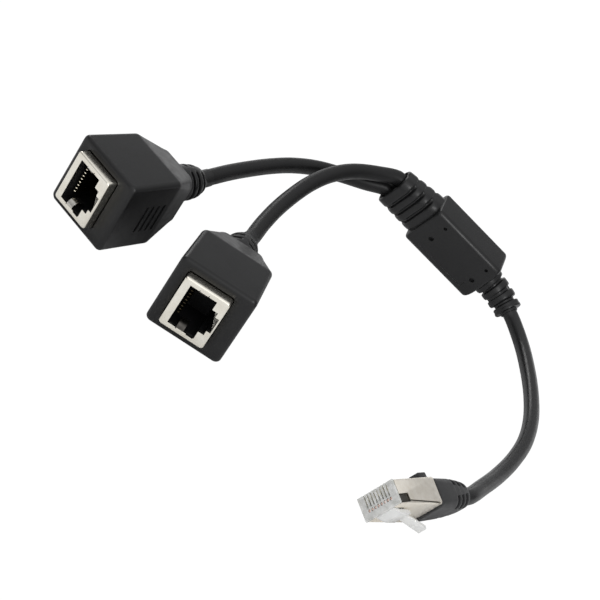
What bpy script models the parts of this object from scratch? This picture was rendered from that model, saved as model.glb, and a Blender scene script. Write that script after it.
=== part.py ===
"""Two shielded network sockets joined through a moulded splitter body to one shielded plug."""
import math

import bpy
import bmesh
from mathutils import Matrix, Vector

# Sizes in metres
GAP = 0.0003
RING = 32

# Socket overmould: X is the jack's height, Z its width, the mating face looks along -Y
SOCKET_X = 0.02151
SOCKET_Z = 0.02132
SOCKET_STRAIGHT = 0.01784
SOCKET_TAPER = 0.0100
SOCKET_DRAFT_X = 0.00082
SOCKET_DRAFT_Z = 0.00018
SOCKET_EDGE = 0.0012
NECK_X = 0.0150
NECK_Z = 0.0156
RELIEF_LENGTH = 0.01493
RELIEF_RADIUS = 0.0047
RELIEF_NOSE = 0.0026
SLOT_WIDTH = 0.0008
SLOT_DEPTH = 0.0009
GRIP_COUNT = 4
GRIP_PITCH = 0.0021
GRIP_FIRST = 0.0096
GRIP_WIDTH = 0.0010
GRIP_DEPTH = 0.0005
GRIP_LENGTH = 0.0086

# Jack inside the socket
SHIELD_X = 0.0128
SHIELD_Z = 0.0152
SHIELD_SHIFT = -0.00098
SHIELD_RISE = 0.0004
SHIELD_PROUD = 0.00305
SHIELD_DEPTH = 0.0130
SHIELD_WALL = 0.00045
MOUTH_X = 0.00755
MOUTH_Z = 0.0123
MOUTH_LOW = -0.0053
STEP_X = 0.0016
STEP_Z = 0.0074
KEY_X = 0.0011
KEY_Z = 0.0046
CONTACTS = 8
PITCH = 0.00102
CONTACT = 0.00036
CONTACT_BEND = -0.0005
SPRING_WIDTH = 0.0024
SPRING = 0.0003

# Splitter body: X runs from the two-cable end to the trunk end, Y is its thickness, Z its height
BODY_X = 0.02535
BODY_Y = 0.01069
BODY_Z = 0.0153
BODY_CORNER = 0.0017
TWIN_LENGTH = 0.0130
TWIN_Y = 0.0092
TWIN_Z = 0.0143
TWIN_TAPER = 0.87
TWIN_SAG = 0.0010
TWIN_SPLIT = 0.0056
TAIL_LENGTH = 0.0111
TAIL_RADIUS = 0.0047
TAIL_TURN = 0.0036
PIN_BIG = 0.0008
PIN_SMALL = 0.00055

# Plug: Y runs from the mating face to the rear, Z from the contact side to the latch side
PLUG_X = 0.01168
PLUG_Z = 0.0061
CAN_Y = 0.01605
CAN_REAR_Z = 0.00726
CAN_WALL = 0.00032
CAN_FRONT = 0.0009
COMB_Y = 0.0065
COMB_Z = 0.0038
COMB_SLOT = 0.0005
BLADE = 0.0003
WIRE_RADIUS = 0.00034
LATCH_WIDE = 0.0062
LATCH_FINGER = 0.0027
LATCH_REACH = 0.0123
BOOT_Y = 0.0161
BOOT_X = 0.0116
BOOT_Z = 0.0076
TONGUE_X = 0.0030

# Cables
BRANCH_DIAMETER = 0.0045
TRUNK_DIAMETER = 0.0044
CORD_STEP = 0.0050

# Placements: the sockets by the tip of the relief, the others by their own centres
SOCKET_A_EXIT = Vector((-0.039044, 0.004682, 0.0))
SOCKET_A_TURN = math.radians(-26.683)
SOCKET_A_BEND = (0.0, 0.0013)
SOCKET_B_EXIT = Vector((-0.019859, -0.007535, 0.0))
SOCKET_B_TURN = math.radians(3.159)
SOCKET_B_BEND = (0.0009, 0.0)
BODY_CENTRE = Vector((0.028336, 0.055949, 0.012549))
BODY_TURN = (9.724, 15.346, 7.255)
PLUG_TAIL = Vector((0.060402, -0.043655, 0.0051))
PLUG_TURN = (-164.755, 72.19, 161.092)

# Free cable points between the ends
BRANCH_A_ROUTE = [
    (-0.03537, 0.01254, 0.01301),
    (-0.03172, 0.02013, 0.01352),
    (-0.02776, 0.02756, 0.01398),
    (-0.02313, 0.03459, 0.01447),
    (-0.01751, 0.04086, 0.01481),
    (-0.01090, 0.04609, 0.01492),
    (-0.00366, 0.05041, 0.01525),
]
BRANCH_B_ROUTE = [
    (-0.01973, 0.00153, 0.01144),
    (-0.01917, 0.01017, 0.01301),
    (-0.01785, 0.01866, 0.01497),
    (-0.01584, 0.02698, 0.01700),
    (-0.01269, 0.03502, 0.01873),
    (-0.00810, 0.04242, 0.01998),
    (-0.00200, 0.04868, 0.02069),
]
TRUNK_ROUTE = [
    (0.06003, 0.04707, 0.00250),
    (0.06481, 0.03635, 0.00222),
    (0.06837, 0.02515, 0.00229),
    (0.07078, 0.01365, 0.00232),
    (0.07144, 0.00193, 0.00229),
    (0.07020, -0.00975, 0.00224),
    (0.06778, -0.02124, 0.00259),
    (0.06470, -0.03253, 0.00377),
]


# Helpers
def clear_scene():
    for item in list(bpy.data.objects):
        bpy.data.objects.remove(item, do_unlink=True)
    for store in (bpy.data.meshes, bpy.data.curves, bpy.data.materials):
        for block in list(store):
            store.remove(block)


def material(name, colour, rough, metal=0.0, through=0.0):
    mat = bpy.data.materials.new(name)
    mat.use_nodes = True
    shader = mat.node_tree.nodes["Principled BSDF"]
    shader.inputs["Base Color"].default_value = (*colour, 1.0)
    shader.inputs["Roughness"].default_value = rough
    shader.inputs["Metallic"].default_value = metal
    shader.inputs["Transmission Weight"].default_value = through
    mat.diffuse_color = (*colour, 1.0)
    return mat


def outline(half_a, half_b, radius, shift_a=0.0, shift_b=0.0):
    """Points round a rounded rectangle, as many for any size so that outlines join."""
    per = RING // 4
    radius = min(radius, half_a, half_b)
    points = []
    for corner, (sa, sb) in enumerate(((1, 1), (-1, 1), (-1, -1), (1, -1))):
        for i in range(per):
            turn = math.radians(90.0 * (corner + (i + 0.5) / per))
            a = sa * (half_a - radius) + radius * math.cos(turn)
            b = sb * (half_b - radius) + radius * math.sin(turn)
            points.append((a + shift_a, b + shift_b))
    return points


def side_slots(i):
    """Slots on the two sides of the first axis, with a bridge between them."""
    return abs(math.cos(2.0 * math.pi * (i + 0.5) / RING)) > 0.57


def top_slots(i):
    return not side_slots(i)


def face_slots(i):
    """Slots on all four faces, with a bridge at every corner."""
    return i % (RING // 4) not in (3, 4)


def all_round(i):
    return True


def slotted(outer, depth, where):
    """The outline with its points drawn in by depth where a slot runs."""
    mid_a = sum(p[0] for p in outer) / len(outer)
    mid_b = sum(p[1] for p in outer) / len(outer)
    out = []
    for i, (a, b) in enumerate(outer):
        if where(i):
            away = math.hypot(a - mid_a, b - mid_b)
            keep = 1.0 - depth / away
            out.append((mid_a + (a - mid_a) * keep, mid_b + (b - mid_b) * keep))
        else:
            out.append((a, b))
    return out


def stations(points, place):
    return [place(a, b) for a, b in points]


def loft(name, rings, mat, smooth=True):
    """One closed body through a row of outlines, capped at both ends."""
    mesh = bpy.data.meshes.new(name)
    shape = bmesh.new()
    rows = [[shape.verts.new(p) for p in ring] for ring in rings]
    for row, after in zip(rows, rows[1:]):
        count = len(row)
        for i in range(count):
            j = (i + 1) % count
            shape.faces.new((row[i], row[j], after[j], after[i]))
    shape.faces.new(list(reversed(rows[0])))
    shape.faces.new(rows[-1])
    bmesh.ops.recalc_face_normals(shape, faces=shape.faces[:])
    for face in shape.faces:
        face.smooth = smooth
    for edge in shape.edges:
        if len(edge.link_faces) == 2 and edge.calc_face_angle(0.0) > math.radians(38.0):
            edge.smooth = False
    shape.to_mesh(mesh)
    shape.free()
    made = bpy.data.objects.new(name, mesh)
    bpy.context.scene.collection.objects.link(made)
    if mat:
        mesh.materials.append(mat)
    return made


def prism(name, corners, low, high, axis, mat=None, bevel=0.0):
    """A flat outline pushed out along an axis: corners are pairs on the other two axes in order."""
    def at(pair, level):
        if axis == "X":
            return (level, pair[0], pair[1])
        if axis == "Y":
            return (pair[0], level, pair[1])
        return (pair[0], pair[1], level)

    shape = bmesh.new()
    base = shape.faces.new([shape.verts.new(at(pair, low)) for pair in corners])
    grown = bmesh.ops.extrude_face_region(shape, geom=[base])
    move = Vector(at((0.0, 0.0), high - low))
    moved = [item for item in grown["geom"] if isinstance(item, bmesh.types.BMVert)]
    bmesh.ops.translate(shape, verts=moved, vec=move)
    bmesh.ops.recalc_face_normals(shape, faces=shape.faces[:])
    if bevel > 0.0:
        bmesh.ops.bevel(shape, geom=shape.edges[:], offset=bevel, segments=1, affect="EDGES")
    mesh = bpy.data.meshes.new(name)
    shape.to_mesh(mesh)
    shape.free()
    made = bpy.data.objects.new(name, mesh)
    bpy.context.scene.collection.objects.link(made)
    if mat:
        mesh.materials.append(mat)
    return made


def block(name, low, high, mat=None, bevel=0.0):
    corners = [(low[0], low[2]), (high[0], low[2]), (high[0], high[2]), (low[0], high[2])]
    return prism(name, corners, low[1], high[1], "Y", mat, bevel)


def gather(name, pieces):
    """Several separate cutters as one object."""
    shape = bmesh.new()
    for piece in pieces:
        shape.from_mesh(piece.data)
        bpy.data.objects.remove(piece, do_unlink=True)
    mesh = bpy.data.meshes.new(name)
    shape.to_mesh(mesh)
    shape.free()
    made = bpy.data.objects.new(name, mesh)
    bpy.context.scene.collection.objects.link(made)
    return made


def combine(target, tool, kind):
    """Cut or join the tool with an exact Boolean and keep the result as the target's mesh."""
    step = target.modifiers.new(kind.title(), "BOOLEAN")
    step.operation = kind
    step.solver = "EXACT"
    step.object = tool
    bpy.context.view_layer.update()
    view = bpy.context.evaluated_depsgraph_get()
    result = bpy.data.meshes.new_from_object(target.evaluated_get(view))
    target.modifiers.clear()
    target.data = result
    bpy.data.objects.remove(tool, do_unlink=True)
    return target


def strip(name, path, width, thick, mat=None):
    """A bent flat strip: path holds pairs (b, y) in one plane, width runs along X."""
    rings = []
    for i, (b, y) in enumerate(path):
        before = Vector(path[max(i - 1, 0)])
        after = Vector(path[min(i + 1, len(path) - 1)])
        run = (after - before).normalized()
        side = Vector((-run.y, run.x)) * thick / 2.0
        rings.append([
            (-width / 2.0, y - side.y, b - side.x),
            (width / 2.0, y - side.y, b - side.x),
            (width / 2.0, y + side.y, b + side.x),
            (-width / 2.0, y + side.y, b + side.x),
        ])
    return loft(name, rings, mat, smooth=False)


# Socket
def socket_overmould(name, bend, mat):
    half_x = SOCKET_X / 2.0
    half_z = SOCKET_Z / 2.0
    neck_y = SOCKET_STRAIGHT + SOCKET_TAPER

    def relief(part, radius, where=None, depth=SLOT_DEPTH):
        """A relief outline at a share of its length, on the bent centre line."""
        y = neck_y + part * RELIEF_LENGTH
        run = Vector((2.0 * bend[0] * part / RELIEF_LENGTH, 1.0, 2.0 * bend[1] * part / RELIEF_LENGTH)).normalized()
        across = Vector((1.0, 0.0, 0.0))
        across = (across - run * across.dot(run)).normalized()
        upward = across.cross(run).normalized()
        mid = Vector((bend[0] * part * part, y, bend[1] * part * part))
        ring = outline(radius, radius, radius)
        if where:
            ring = slotted(ring, depth, where)
        return [tuple(mid + across * a + upward * b) for a, b in ring]

    def radius_at(part):
        table = [(0.0, 1.0), (0.62, 0.99), (0.80, 0.91), (0.90, 0.79), (0.965, 0.63), (1.0, 0.54)]
        for (p0, r0), (p1, r1) in zip(table, table[1:]):
            if part <= p1:
                return RELIEF_RADIUS * (r0 + (r1 - r0) * (part - p0) / (p1 - p0))
        return RELIEF_RADIUS * table[-1][1]

    rings = [relief(1.0, RELIEF_NOSE - 0.0002), relief(0.988, radius_at(0.988)), relief(0.955, radius_at(0.955))]
    rings.append(relief(0.90, radius_at(0.90)))
    half = SLOT_WIDTH / 2.0 / RELIEF_LENGTH
    for middle in (0.765, 0.600, 0.435):
        rings.append(relief(middle + half, radius_at(middle + half)))
        rings.append(relief(middle + half * 0.8, radius_at(middle), side_slots))
        rings.append(relief(middle - half * 0.8, radius_at(middle), side_slots))
        rings.append(relief(middle - half, radius_at(middle - half)))
    rings.append(relief(0.04, RELIEF_RADIUS))
    rings.append(relief(0.0, RELIEF_RADIUS + 0.0006))

    def level(y, inset, size_x, size_z, lift, radius):
        ring = outline(size_x - inset, size_z - inset, radius, 0.0, lift)
        return [(a, y, b) for a, b in ring]

    neck_x = NECK_X / 2.0
    neck_z = NECK_Z / 2.0
    rings.append(level(neck_y, 0.0008, neck_x, neck_z, 0.0, 0.0028))
    rings.append(level(neck_y - 0.0003, 0.0002, neck_x, neck_z, 0.0, 0.0032))
    rings.append(level(neck_y - 0.0009, 0.0, neck_x, neck_z, 0.0, 0.0034))
    rear_x = half_x - SOCKET_DRAFT_X / 2.0
    rear_z = half_z - SOCKET_DRAFT_Z / 2.0
    rings.append(level(SOCKET_STRAIGHT, 0.0, rear_x, rear_z, -SOCKET_DRAFT_Z / 2.0, 0.0020))
    rings.append(level(SOCKET_STRAIGHT - 0.0005, 0.0, rear_x, rear_z, -SOCKET_DRAFT_Z / 2.0, 0.0014))
    for turn in (0.0, 30.0, 60.0, 90.0):
        y = SOCKET_EDGE * (1.0 - math.sin(math.radians(turn)))
        inset = SOCKET_EDGE * (1.0 - math.cos(math.radians(turn)))
        rings.append(level(y, inset, half_x, half_z, 0.0, 0.0015))
    side = GAP * 0.7
    for y in (0.0, SHIELD_DEPTH + GAP):
        ring = outline(SHIELD_X / 2.0 + side, SHIELD_Z / 2.0 + side, 0.0010, SHIELD_SHIFT, SHIELD_RISE)
        rings.append([(a, y, b) for a, b in ring])
    made = loft(name, rings, mat)

    grips = []
    for hand in (-1, 1):
        for i in range(GRIP_COUNT):
            y = GRIP_FIRST + i * GRIP_PITCH
            face = half_x - SOCKET_DRAFT_X / 2.0 * y / SOCKET_STRAIGHT
            edge = sorted((hand * (face - GRIP_DEPTH), hand * (face + 0.002)))
            low = (edge[0], y - GRIP_WIDTH / 2.0, -GRIP_LENGTH / 2.0 - 0.0006)
            high = (edge[1], y + GRIP_WIDTH / 2.0, GRIP_LENGTH / 2.0 - 0.0006)
            grips.append(block("grip", low, high))
    return combine(made, gather("grips", grips), "DIFFERENCE")


def keyhole(name, front, back, grow=0.0):
    """The stepped mouth of the jack as a prism between two levels."""
    x0 = MOUTH_LOW - grow
    x1 = MOUTH_LOW + MOUTH_X
    x2 = x1 + STEP_X
    x3 = x2 + KEY_X
    z0 = MOUTH_Z / 2.0 + grow
    z1 = STEP_Z / 2.0
    z2 = KEY_Z / 2.0
    corners = [
        (x0, -z0), (x1, -z0), (x1, -z1), (x2, -z1), (x2, -z2), (x3, -z2),
        (x3, z2), (x2, z2), (x2, z1), (x1, z1), (x1, z0), (x0, z0),
    ]
    return prism(name, corners, front, back, "Y")


def jack_shield(name, mat):
    half_x = SHIELD_X / 2.0
    half_z = SHIELD_Z / 2.0

    def level(y, inset, radius):
        ring = outline(half_x - inset, half_z - inset, radius, SHIELD_SHIFT)
        return [(a, y, b) for a, b in ring]

    front = -SHIELD_PROUD
    wall = SHIELD_WALL
    rings = [
        level(front + wall, wall, 0.0004),
        level(SHIELD_DEPTH, wall, 0.0004),
        level(SHIELD_DEPTH, 0.0, 0.0008),
        level(front + 0.0005, 0.0, 0.0008),
        level(front + 0.00015, 0.00015, 0.0008),
        level(front, 0.0005, 0.0006),
    ]
    made = loft(name, rings, mat)
    made = combine(made, keyhole("mouth", front - 0.001, front + wall + 0.0005), "DIFFERENCE")
    edge = MOUTH_Z / 2.0
    middle = MOUTH_LOW + MOUTH_X / 2.0 - 0.0003
    for hand in (-1, 1):
        path = [
            (edge + 0.0006, front + 0.00022), (edge - 0.0003, front + 0.00024), (edge - 0.0008, front + 0.0006),
            (edge - 0.0010, front + 0.0014), (edge - 0.0009, front + 0.0026), (edge - 0.0005, front + 0.0042),
        ]
        path = [(hand * b, y) for b, y in path]
        spring = strip("spring", path, SPRING_WIDTH, SPRING)
        spring.data.transform(Matrix.Translation((middle, 0.0, 0.0)))
        made = combine(made, spring, "UNION")
    return made


def jack_insulator(name, mat):
    front = -SHIELD_PROUD + SHIELD_WALL + GAP
    inset = SHIELD_WALL + GAP
    low = (-SHIELD_X / 2.0 + inset + SHIELD_SHIFT, front, -SHIELD_Z / 2.0 + inset)
    high = (SHIELD_X / 2.0 - inset + SHIELD_SHIFT, SHIELD_DEPTH, SHIELD_Z / 2.0 - inset)
    made = block(name, low, high, mat)
    return combine(made, keyhole("bay", front - 0.001, front + 0.0115), "DIFFERENCE")


def jack_contact(name, index, mat):
    """A sprung wire: the bright bend inside the mouth, then a slight slope to the back wall."""
    front = -SHIELD_PROUD + SHIELD_WALL + GAP
    floor = MOUTH_LOW + GAP + CONTACT / 2.0
    z = (index - (CONTACTS - 1) / 2.0) * PITCH
    path = [
        (floor, CONTACT_BEND + 0.0013), (floor, CONTACT_BEND + 0.0003), (floor + 0.0003, CONTACT_BEND),
        (floor + 0.0006, CONTACT_BEND + 0.0002), (floor + 0.0008, 0.0035), (floor + 0.0009, front + 0.0115 - GAP),
    ]
    rings = []
    half = CONTACT / 2.0
    for i, (x, y) in enumerate(path):
        before = Vector(path[max(i - 1, 0)])
        after = Vector(path[min(i + 1, len(path) - 1)])
        run = (after - before).normalized()
        side = Vector((-run.y, run.x)) * half
        rings.append([
            (x - side.x, y - side.y, z - half), (x - side.x, y - side.y, z + half),
            (x + side.x, y + side.y, z + half), (x + side.x, y + side.y, z - half),
        ])
    return loft(name, rings, mat, smooth=False)


# Splitter body
def tail_line(part):
    """Centre and direction of the trunk relief at a share of its length."""
    run = Vector((TAIL_LENGTH, -2.0 * TAIL_TURN * part, 0.0)).normalized()
    x = BODY_X / 2.0 + 0.0008 + part * TAIL_LENGTH
    return Vector((x, -TAIL_TURN * part * part, -0.0007)), run


def splitter_body(name, mat):
    half_x = BODY_X / 2.0

    def level(x, half_y, half_z, radius, shift_y=0.0, shift_z=0.0, where=None, depth=0.0):
        ring = outline(half_y, half_z, radius, shift_y, shift_z)
        if where:
            ring = slotted(ring, depth, where)
        return [(x, a, b) for a, b in ring]

    rings = []
    start = -half_x - TWIN_LENGTH

    def twin(x, inset=0.0, where=None, depth=0.0):
        share = (x - start) / TWIN_LENGTH
        size = TWIN_TAPER + (1.0 - TWIN_TAPER) * share
        half_y = TWIN_Y / 2.0 * size - inset
        half_z = TWIN_Z / 2.0 * size - inset
        return level(x, half_y, half_z, half_y * 0.82, 0.0, -TWIN_SAG * (1.0 - share), where, depth)

    hollow = BRANCH_DIAMETER / 2.0 + 0.0006
    long_hollow = TWIN_SPLIT / 2.0 + hollow
    rings.append(level(start + 0.0018, hollow - 0.0002, long_hollow - 0.0002, hollow, 0.0, -TWIN_SAG))
    rings.append(level(start + 0.0002, hollow, long_hollow, hollow, 0.0, -TWIN_SAG))
    rings.append(twin(start, 0.0011))
    rings.append(twin(start + 0.0002, 0.0005))
    rings.append(twin(start + 0.0008, 0.0))
    rib = (TWIN_LENGTH - 0.0016) / 4.0
    for i in range(3):
        groove = start + 0.0036 + i * rib * 1.06
        rings.append(twin(groove - 0.0012, 0.0))
        rings.append(twin(groove - 0.00042, 0.00035))
        rings.append(twin(groove - 0.00034, 0.0012))
        rings.append(twin(groove + 0.00034, 0.0012))
        rings.append(twin(groove + 0.00042, 0.00035))
    rings.append(twin(-half_x - 0.0016, 0.0))
    rings.append(twin(-half_x, 0.0005))

    full_y = BODY_Y / 2.0
    full_z = BODY_Z / 2.0
    low = -0.0002
    rings.append(level(-half_x, full_y - 0.0005, full_z - 0.0004, BODY_CORNER, 0.0, low))
    rings.append(level(-half_x + 0.0003, full_y - 0.0001, full_z - 0.0001, BODY_CORNER, 0.0, low))
    rings.append(level(-half_x + 0.0009, full_y, full_z, BODY_CORNER, 0.0, low))
    rings.append(level(half_x - 0.0006, full_y, full_z, BODY_CORNER, 0.0, low))
    rings.append(level(half_x + 0.0001, full_y - 0.00005, full_z - 0.0003, BODY_CORNER + 0.0006, 0.0, low))
    rings.append(level(half_x + 0.0006, full_y - 0.0002, full_z - 0.0012, BODY_CORNER + 0.0016, 0.0, low))

    # Trunk relief, curving towards the broad front face
    def tail(part, radius, where=None, depth=0.0011):
        ring = outline(radius, radius, radius)
        if where:
            ring = slotted(ring, depth, where)
        middle, run = tail_line(part)
        out = []
        for a, b in ring:
            out.append((middle.x - a * run.y, middle.y + a * run.x, middle.z + b))
        return out

    base = TAIL_RADIUS
    rings.append(tail(0.0, base - 0.0001))
    rings.append(tail(0.085, base - 0.0001))
    rings.append(tail(0.095, base, all_round))
    rings.append(tail(0.160, base, all_round))
    rings.append(tail(0.170, base - 0.0003))
    rings.append(tail(0.385, base - 0.00045))
    rings.append(tail(0.395, base - 0.00045, top_slots))
    rings.append(tail(0.455, base - 0.00045, top_slots))
    rings.append(tail(0.465, base - 0.00045))
    rings.append(tail(0.695, base - 0.0004))
    rings.append(tail(0.705, base - 0.0006, all_round, 0.0009))
    rings.append(tail(0.765, base - 0.0006, all_round, 0.0009))
    rings.append(tail(0.775, base - 0.0009))
    rings.append(tail(0.930, base - 0.0010))
    rings.append(tail(1.000, base - 0.0006))
    rings.append(tail(1.004, base - 0.0009))
    made = loft(name, rings, mat)

    pins = []
    for x, z, radius in (
        (-half_x + 0.0050, -0.0012, PIN_BIG), (half_x - 0.0029, -0.0012, PIN_BIG),
        (-half_x + 0.0050, 0.0046, PIN_SMALL), (half_x - 0.0029, 0.0046, PIN_SMALL),
    ):
        ring = [(radius * math.cos(k * math.pi / 4.0), radius * math.sin(k * math.pi / 4.0)) for k in range(8)]
        pins.append(prism("pin", [(x + a, z + b) for a, b in ring], -full_y - 0.001, -full_y + 0.0008, "Y"))
    return combine(made, gather("pins", pins), "DIFFERENCE")


# Plug
def plug_rise(y):
    """How far the latch face stands above the mating-face height at a distance back."""
    return (CAN_REAR_Z - PLUG_Z) * y / CAN_Y


def plug_body(name, mat):
    half = PLUG_X / 2.0
    skin = CAN_WALL + 0.0002
    head = CAN_FRONT - 0.0002
    made = block(name, (-half, 0.0, 0.0), (half, head, PLUG_Z), mat, 0.0002)
    end = CAN_Y - 0.0004
    side = [
        (head - 0.0003, skin), (end, skin), (end, PLUG_Z + plug_rise(end) - skin), (head - 0.0003, PLUG_Z - skin),
    ]
    made = combine(made, prism("rear", side, -half + skin, half - skin, "X"), "UNION")
    comb_half = (CONTACTS / 2.0) * PITCH + 0.0006
    comb = block("comb", (-comb_half, 0.0004, 0.0), (comb_half, COMB_Y + 0.0012, 0.002))
    made = combine(made, comb, "UNION")

    # Latch: a root over the front edge, a wide step, then the narrow finger rising to the rear
    wide = [
        (0.0005, PLUG_Z - 0.0012), (0.0020, PLUG_Z - 0.0012), (0.0026, PLUG_Z + 0.0002),
        (0.0078, PLUG_Z + 0.00085), (0.0082, PLUG_Z + 0.0020), (0.0030, PLUG_Z + 0.0015),
        (0.0006, PLUG_Z + 0.0002),
    ]
    made = combine(made, prism("wide", wide, -LATCH_WIDE / 2.0, LATCH_WIDE / 2.0, "X"), "UNION")
    finger = [
        (0.0060, PLUG_Z + 0.0007), (LATCH_REACH, PLUG_Z + 0.0046), (LATCH_REACH - 0.0003, PLUG_Z + 0.0056),
        (0.0068, PLUG_Z + 0.00175),
    ]
    made = combine(made, prism("finger", finger, -LATCH_FINGER / 2.0, LATCH_FINGER / 2.0, "X"), "UNION")

    cuts = []
    for i in range(CONTACTS):
        x = (i - (CONTACTS - 1) / 2.0) * PITCH
        cuts.append(block("slot", (x - COMB_SLOT / 2.0, -0.001, -0.001), (x + COMB_SLOT / 2.0, COMB_Y, COMB_Z)))
    made = combine(made, gather("slots", cuts), "DIFFERENCE")
    inner = [(0.0080, 0.0018), (CAN_Y + 0.001, 0.0018), (CAN_Y + 0.001, 0.0055), (0.0080, 0.0055)]
    made = combine(made, prism("bay", inner, -half + 0.0013, half - 0.0013, "X"), "DIFFERENCE")
    bores = []
    reach = WIRE_RADIUS + 0.0001
    for i in range(CONTACTS):
        x = (i - (CONTACTS - 1) / 2.0) * PITCH
        ring = [(reach * math.cos((k + 0.5) * math.pi / 4.0), reach * math.sin((k + 0.5) * math.pi / 4.0)) for k in range(8)]
        bores.append(prism("bore", [(x + a, COMB_Z + 0.0007 + b) for a, b in ring], 0.0012, 0.0085, "Y"))
    return combine(made, gather("bores", bores), "DIFFERENCE")


def plug_blade(name, index, mat):
    x = (index - (CONTACTS - 1) / 2.0) * PITCH
    side = [
        (0.0006, 0.0013), (0.0010, 0.0006), (COMB_Y - GAP, 0.0006), (COMB_Y - GAP, COMB_Z - GAP),
        (0.0012, COMB_Z - GAP), (0.0006, COMB_Z - 0.0010),
    ]
    return prism(name, side, x - BLADE / 2.0, x + BLADE / 2.0, "X", mat)


def plug_wire(name, index, mat):
    x = (index - (CONTACTS - 1) / 2.0) * PITCH
    rings = []
    for y in (0.0012 + GAP, 0.0140):
        rings.append([
            (x + WIRE_RADIUS * math.cos((k + 0.5) * math.pi / 4.0), y,
             COMB_Z + 0.0007 + WIRE_RADIUS * math.sin((k + 0.5) * math.pi / 4.0)) for k in range(8)
        ])
    return loft(name, rings, mat)


def plug_can(name, mat):
    half = PLUG_X / 2.0

    def level(y, inset):
        top = PLUG_Z + plug_rise(y)
        ring = outline(half - inset, top / 2.0 - inset, 0.0007 - inset * 0.9, 0.0, top / 2.0)
        return [(a, y, b) for a, b in ring]

    # A tube open at both ends
    rings = [level(y, inset) for y, inset in (
        (CAN_FRONT, CAN_WALL), (CAN_FRONT, 0.00012), (CAN_FRONT + 0.00012, 0.0), (CAN_Y, 0.0), (CAN_Y, CAN_WALL),
    )]
    mesh = bpy.data.meshes.new(name)
    shape = bmesh.new()
    rows = [[shape.verts.new(p) for p in ring] for ring in rings]
    rows.append(rows[0])
    for row, after in zip(rows, rows[1:]):
        for i in range(RING):
            j = (i + 1) % RING
            shape.faces.new((row[i], row[j], after[j], after[i]))
    bmesh.ops.recalc_face_normals(shape, faces=shape.faces[:])
    shape.to_mesh(mesh)
    shape.free()
    mesh.materials.append(mat)
    made = bpy.data.objects.new(name, mesh)
    bpy.context.scene.collection.objects.link(made)
    comb_half = (CONTACTS / 2.0) * PITCH + 0.0006 + 0.0002
    cuts = [
        block("window", (-comb_half, -0.001, -0.002), (comb_half, COMB_Y + 0.0012 + GAP, 0.0010)),
        block("latch_way", (-LATCH_WIDE / 2.0 - GAP, -0.001, PLUG_Z - 0.0012), (LATCH_WIDE / 2.0 + GAP, 0.0100, 0.010)),
    ]
    made = combine(made, gather("windows", cuts), "DIFFERENCE")
    notches = []
    for hand in (-1, 1):
        edge = sorted((hand * (half - 0.0009), hand * (half + 0.001)))
        notches.append(block("notch", (edge[0], -0.001, 0.0040), (edge[1], 0.0035, 0.0058)))
    made = combine(made, gather("notches", notches), "DIFFERENCE")
    return made


def plug_boot(name, mat):
    front = CAN_Y + GAP
    mid = 0.0039

    def level(y, half_x, half_z, radius, where=None, depth=0.0009):
        ring = outline(half_x, half_z, radius, 0.0, mid)
        if where:
            ring = slotted(ring, depth, where)
        return [(a, y, b) for a, b in ring]

    table = [
        (0.0, 1.0, 1.0, 0.0016), (0.23, 0.965, 1.01, 0.0021), (0.49, 0.885, 1.03, 0.0026),
        (0.71, 0.79, 0.98, 0.0029), (0.89, 0.68, 0.87, 0.0029), (0.975, 0.52, 0.72, 0.0026), (1.0, 0.42, 0.62, 0.0023),
    ]

    def size(part):
        for low, high in zip(table, table[1:]):
            if part <= high[0] + 1e-9:
                share = (part - low[0]) / (high[0] - low[0])
                return [a + (b - a) * share for a, b in zip(low, high)][1:]
        return list(table[-1][1:])

    def at(part, where=None):
        wide, tall, radius = size(part)
        return level(front + part * BOOT_Y, BOOT_X / 2.0 * wide, BOOT_Z / 2.0 * tall, radius, where)

    rings = [level(front, BOOT_X / 2.0 - 0.0003, BOOT_Z / 2.0 - 0.0003, 0.0014), at(0.014)]
    rings += [at(0.23), at(0.49)]
    half = SLOT_WIDTH / 2.0 / BOOT_Y
    for middle in (0.605, 0.693, 0.781, 0.869):
        rings.append(at(middle - half))
        rings.append(at(middle - half * 0.8, face_slots))
        rings.append(at(middle + half * 0.8, face_slots))
        rings.append(at(middle + half))
    rings += [at(0.93), at(0.975), at(1.0)]
    made = loft(name, rings, mat)

    # Stepped lug on the contact side
    tongue = [
        (front + 0.0008, 0.0012), (front + 0.0008, -0.0014), (front + 0.0012, -0.0017), (front + 0.0026, -0.0017),
        (front + 0.0026, -0.0030), (front + 0.0046, -0.0030), (front + 0.0050, -0.0026), (front + 0.0052, 0.0012),
    ]
    return combine(made, prism("tongue", tongue, -TONGUE_X / 2.0, TONGUE_X / 2.0, "X"), "UNION")


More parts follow.
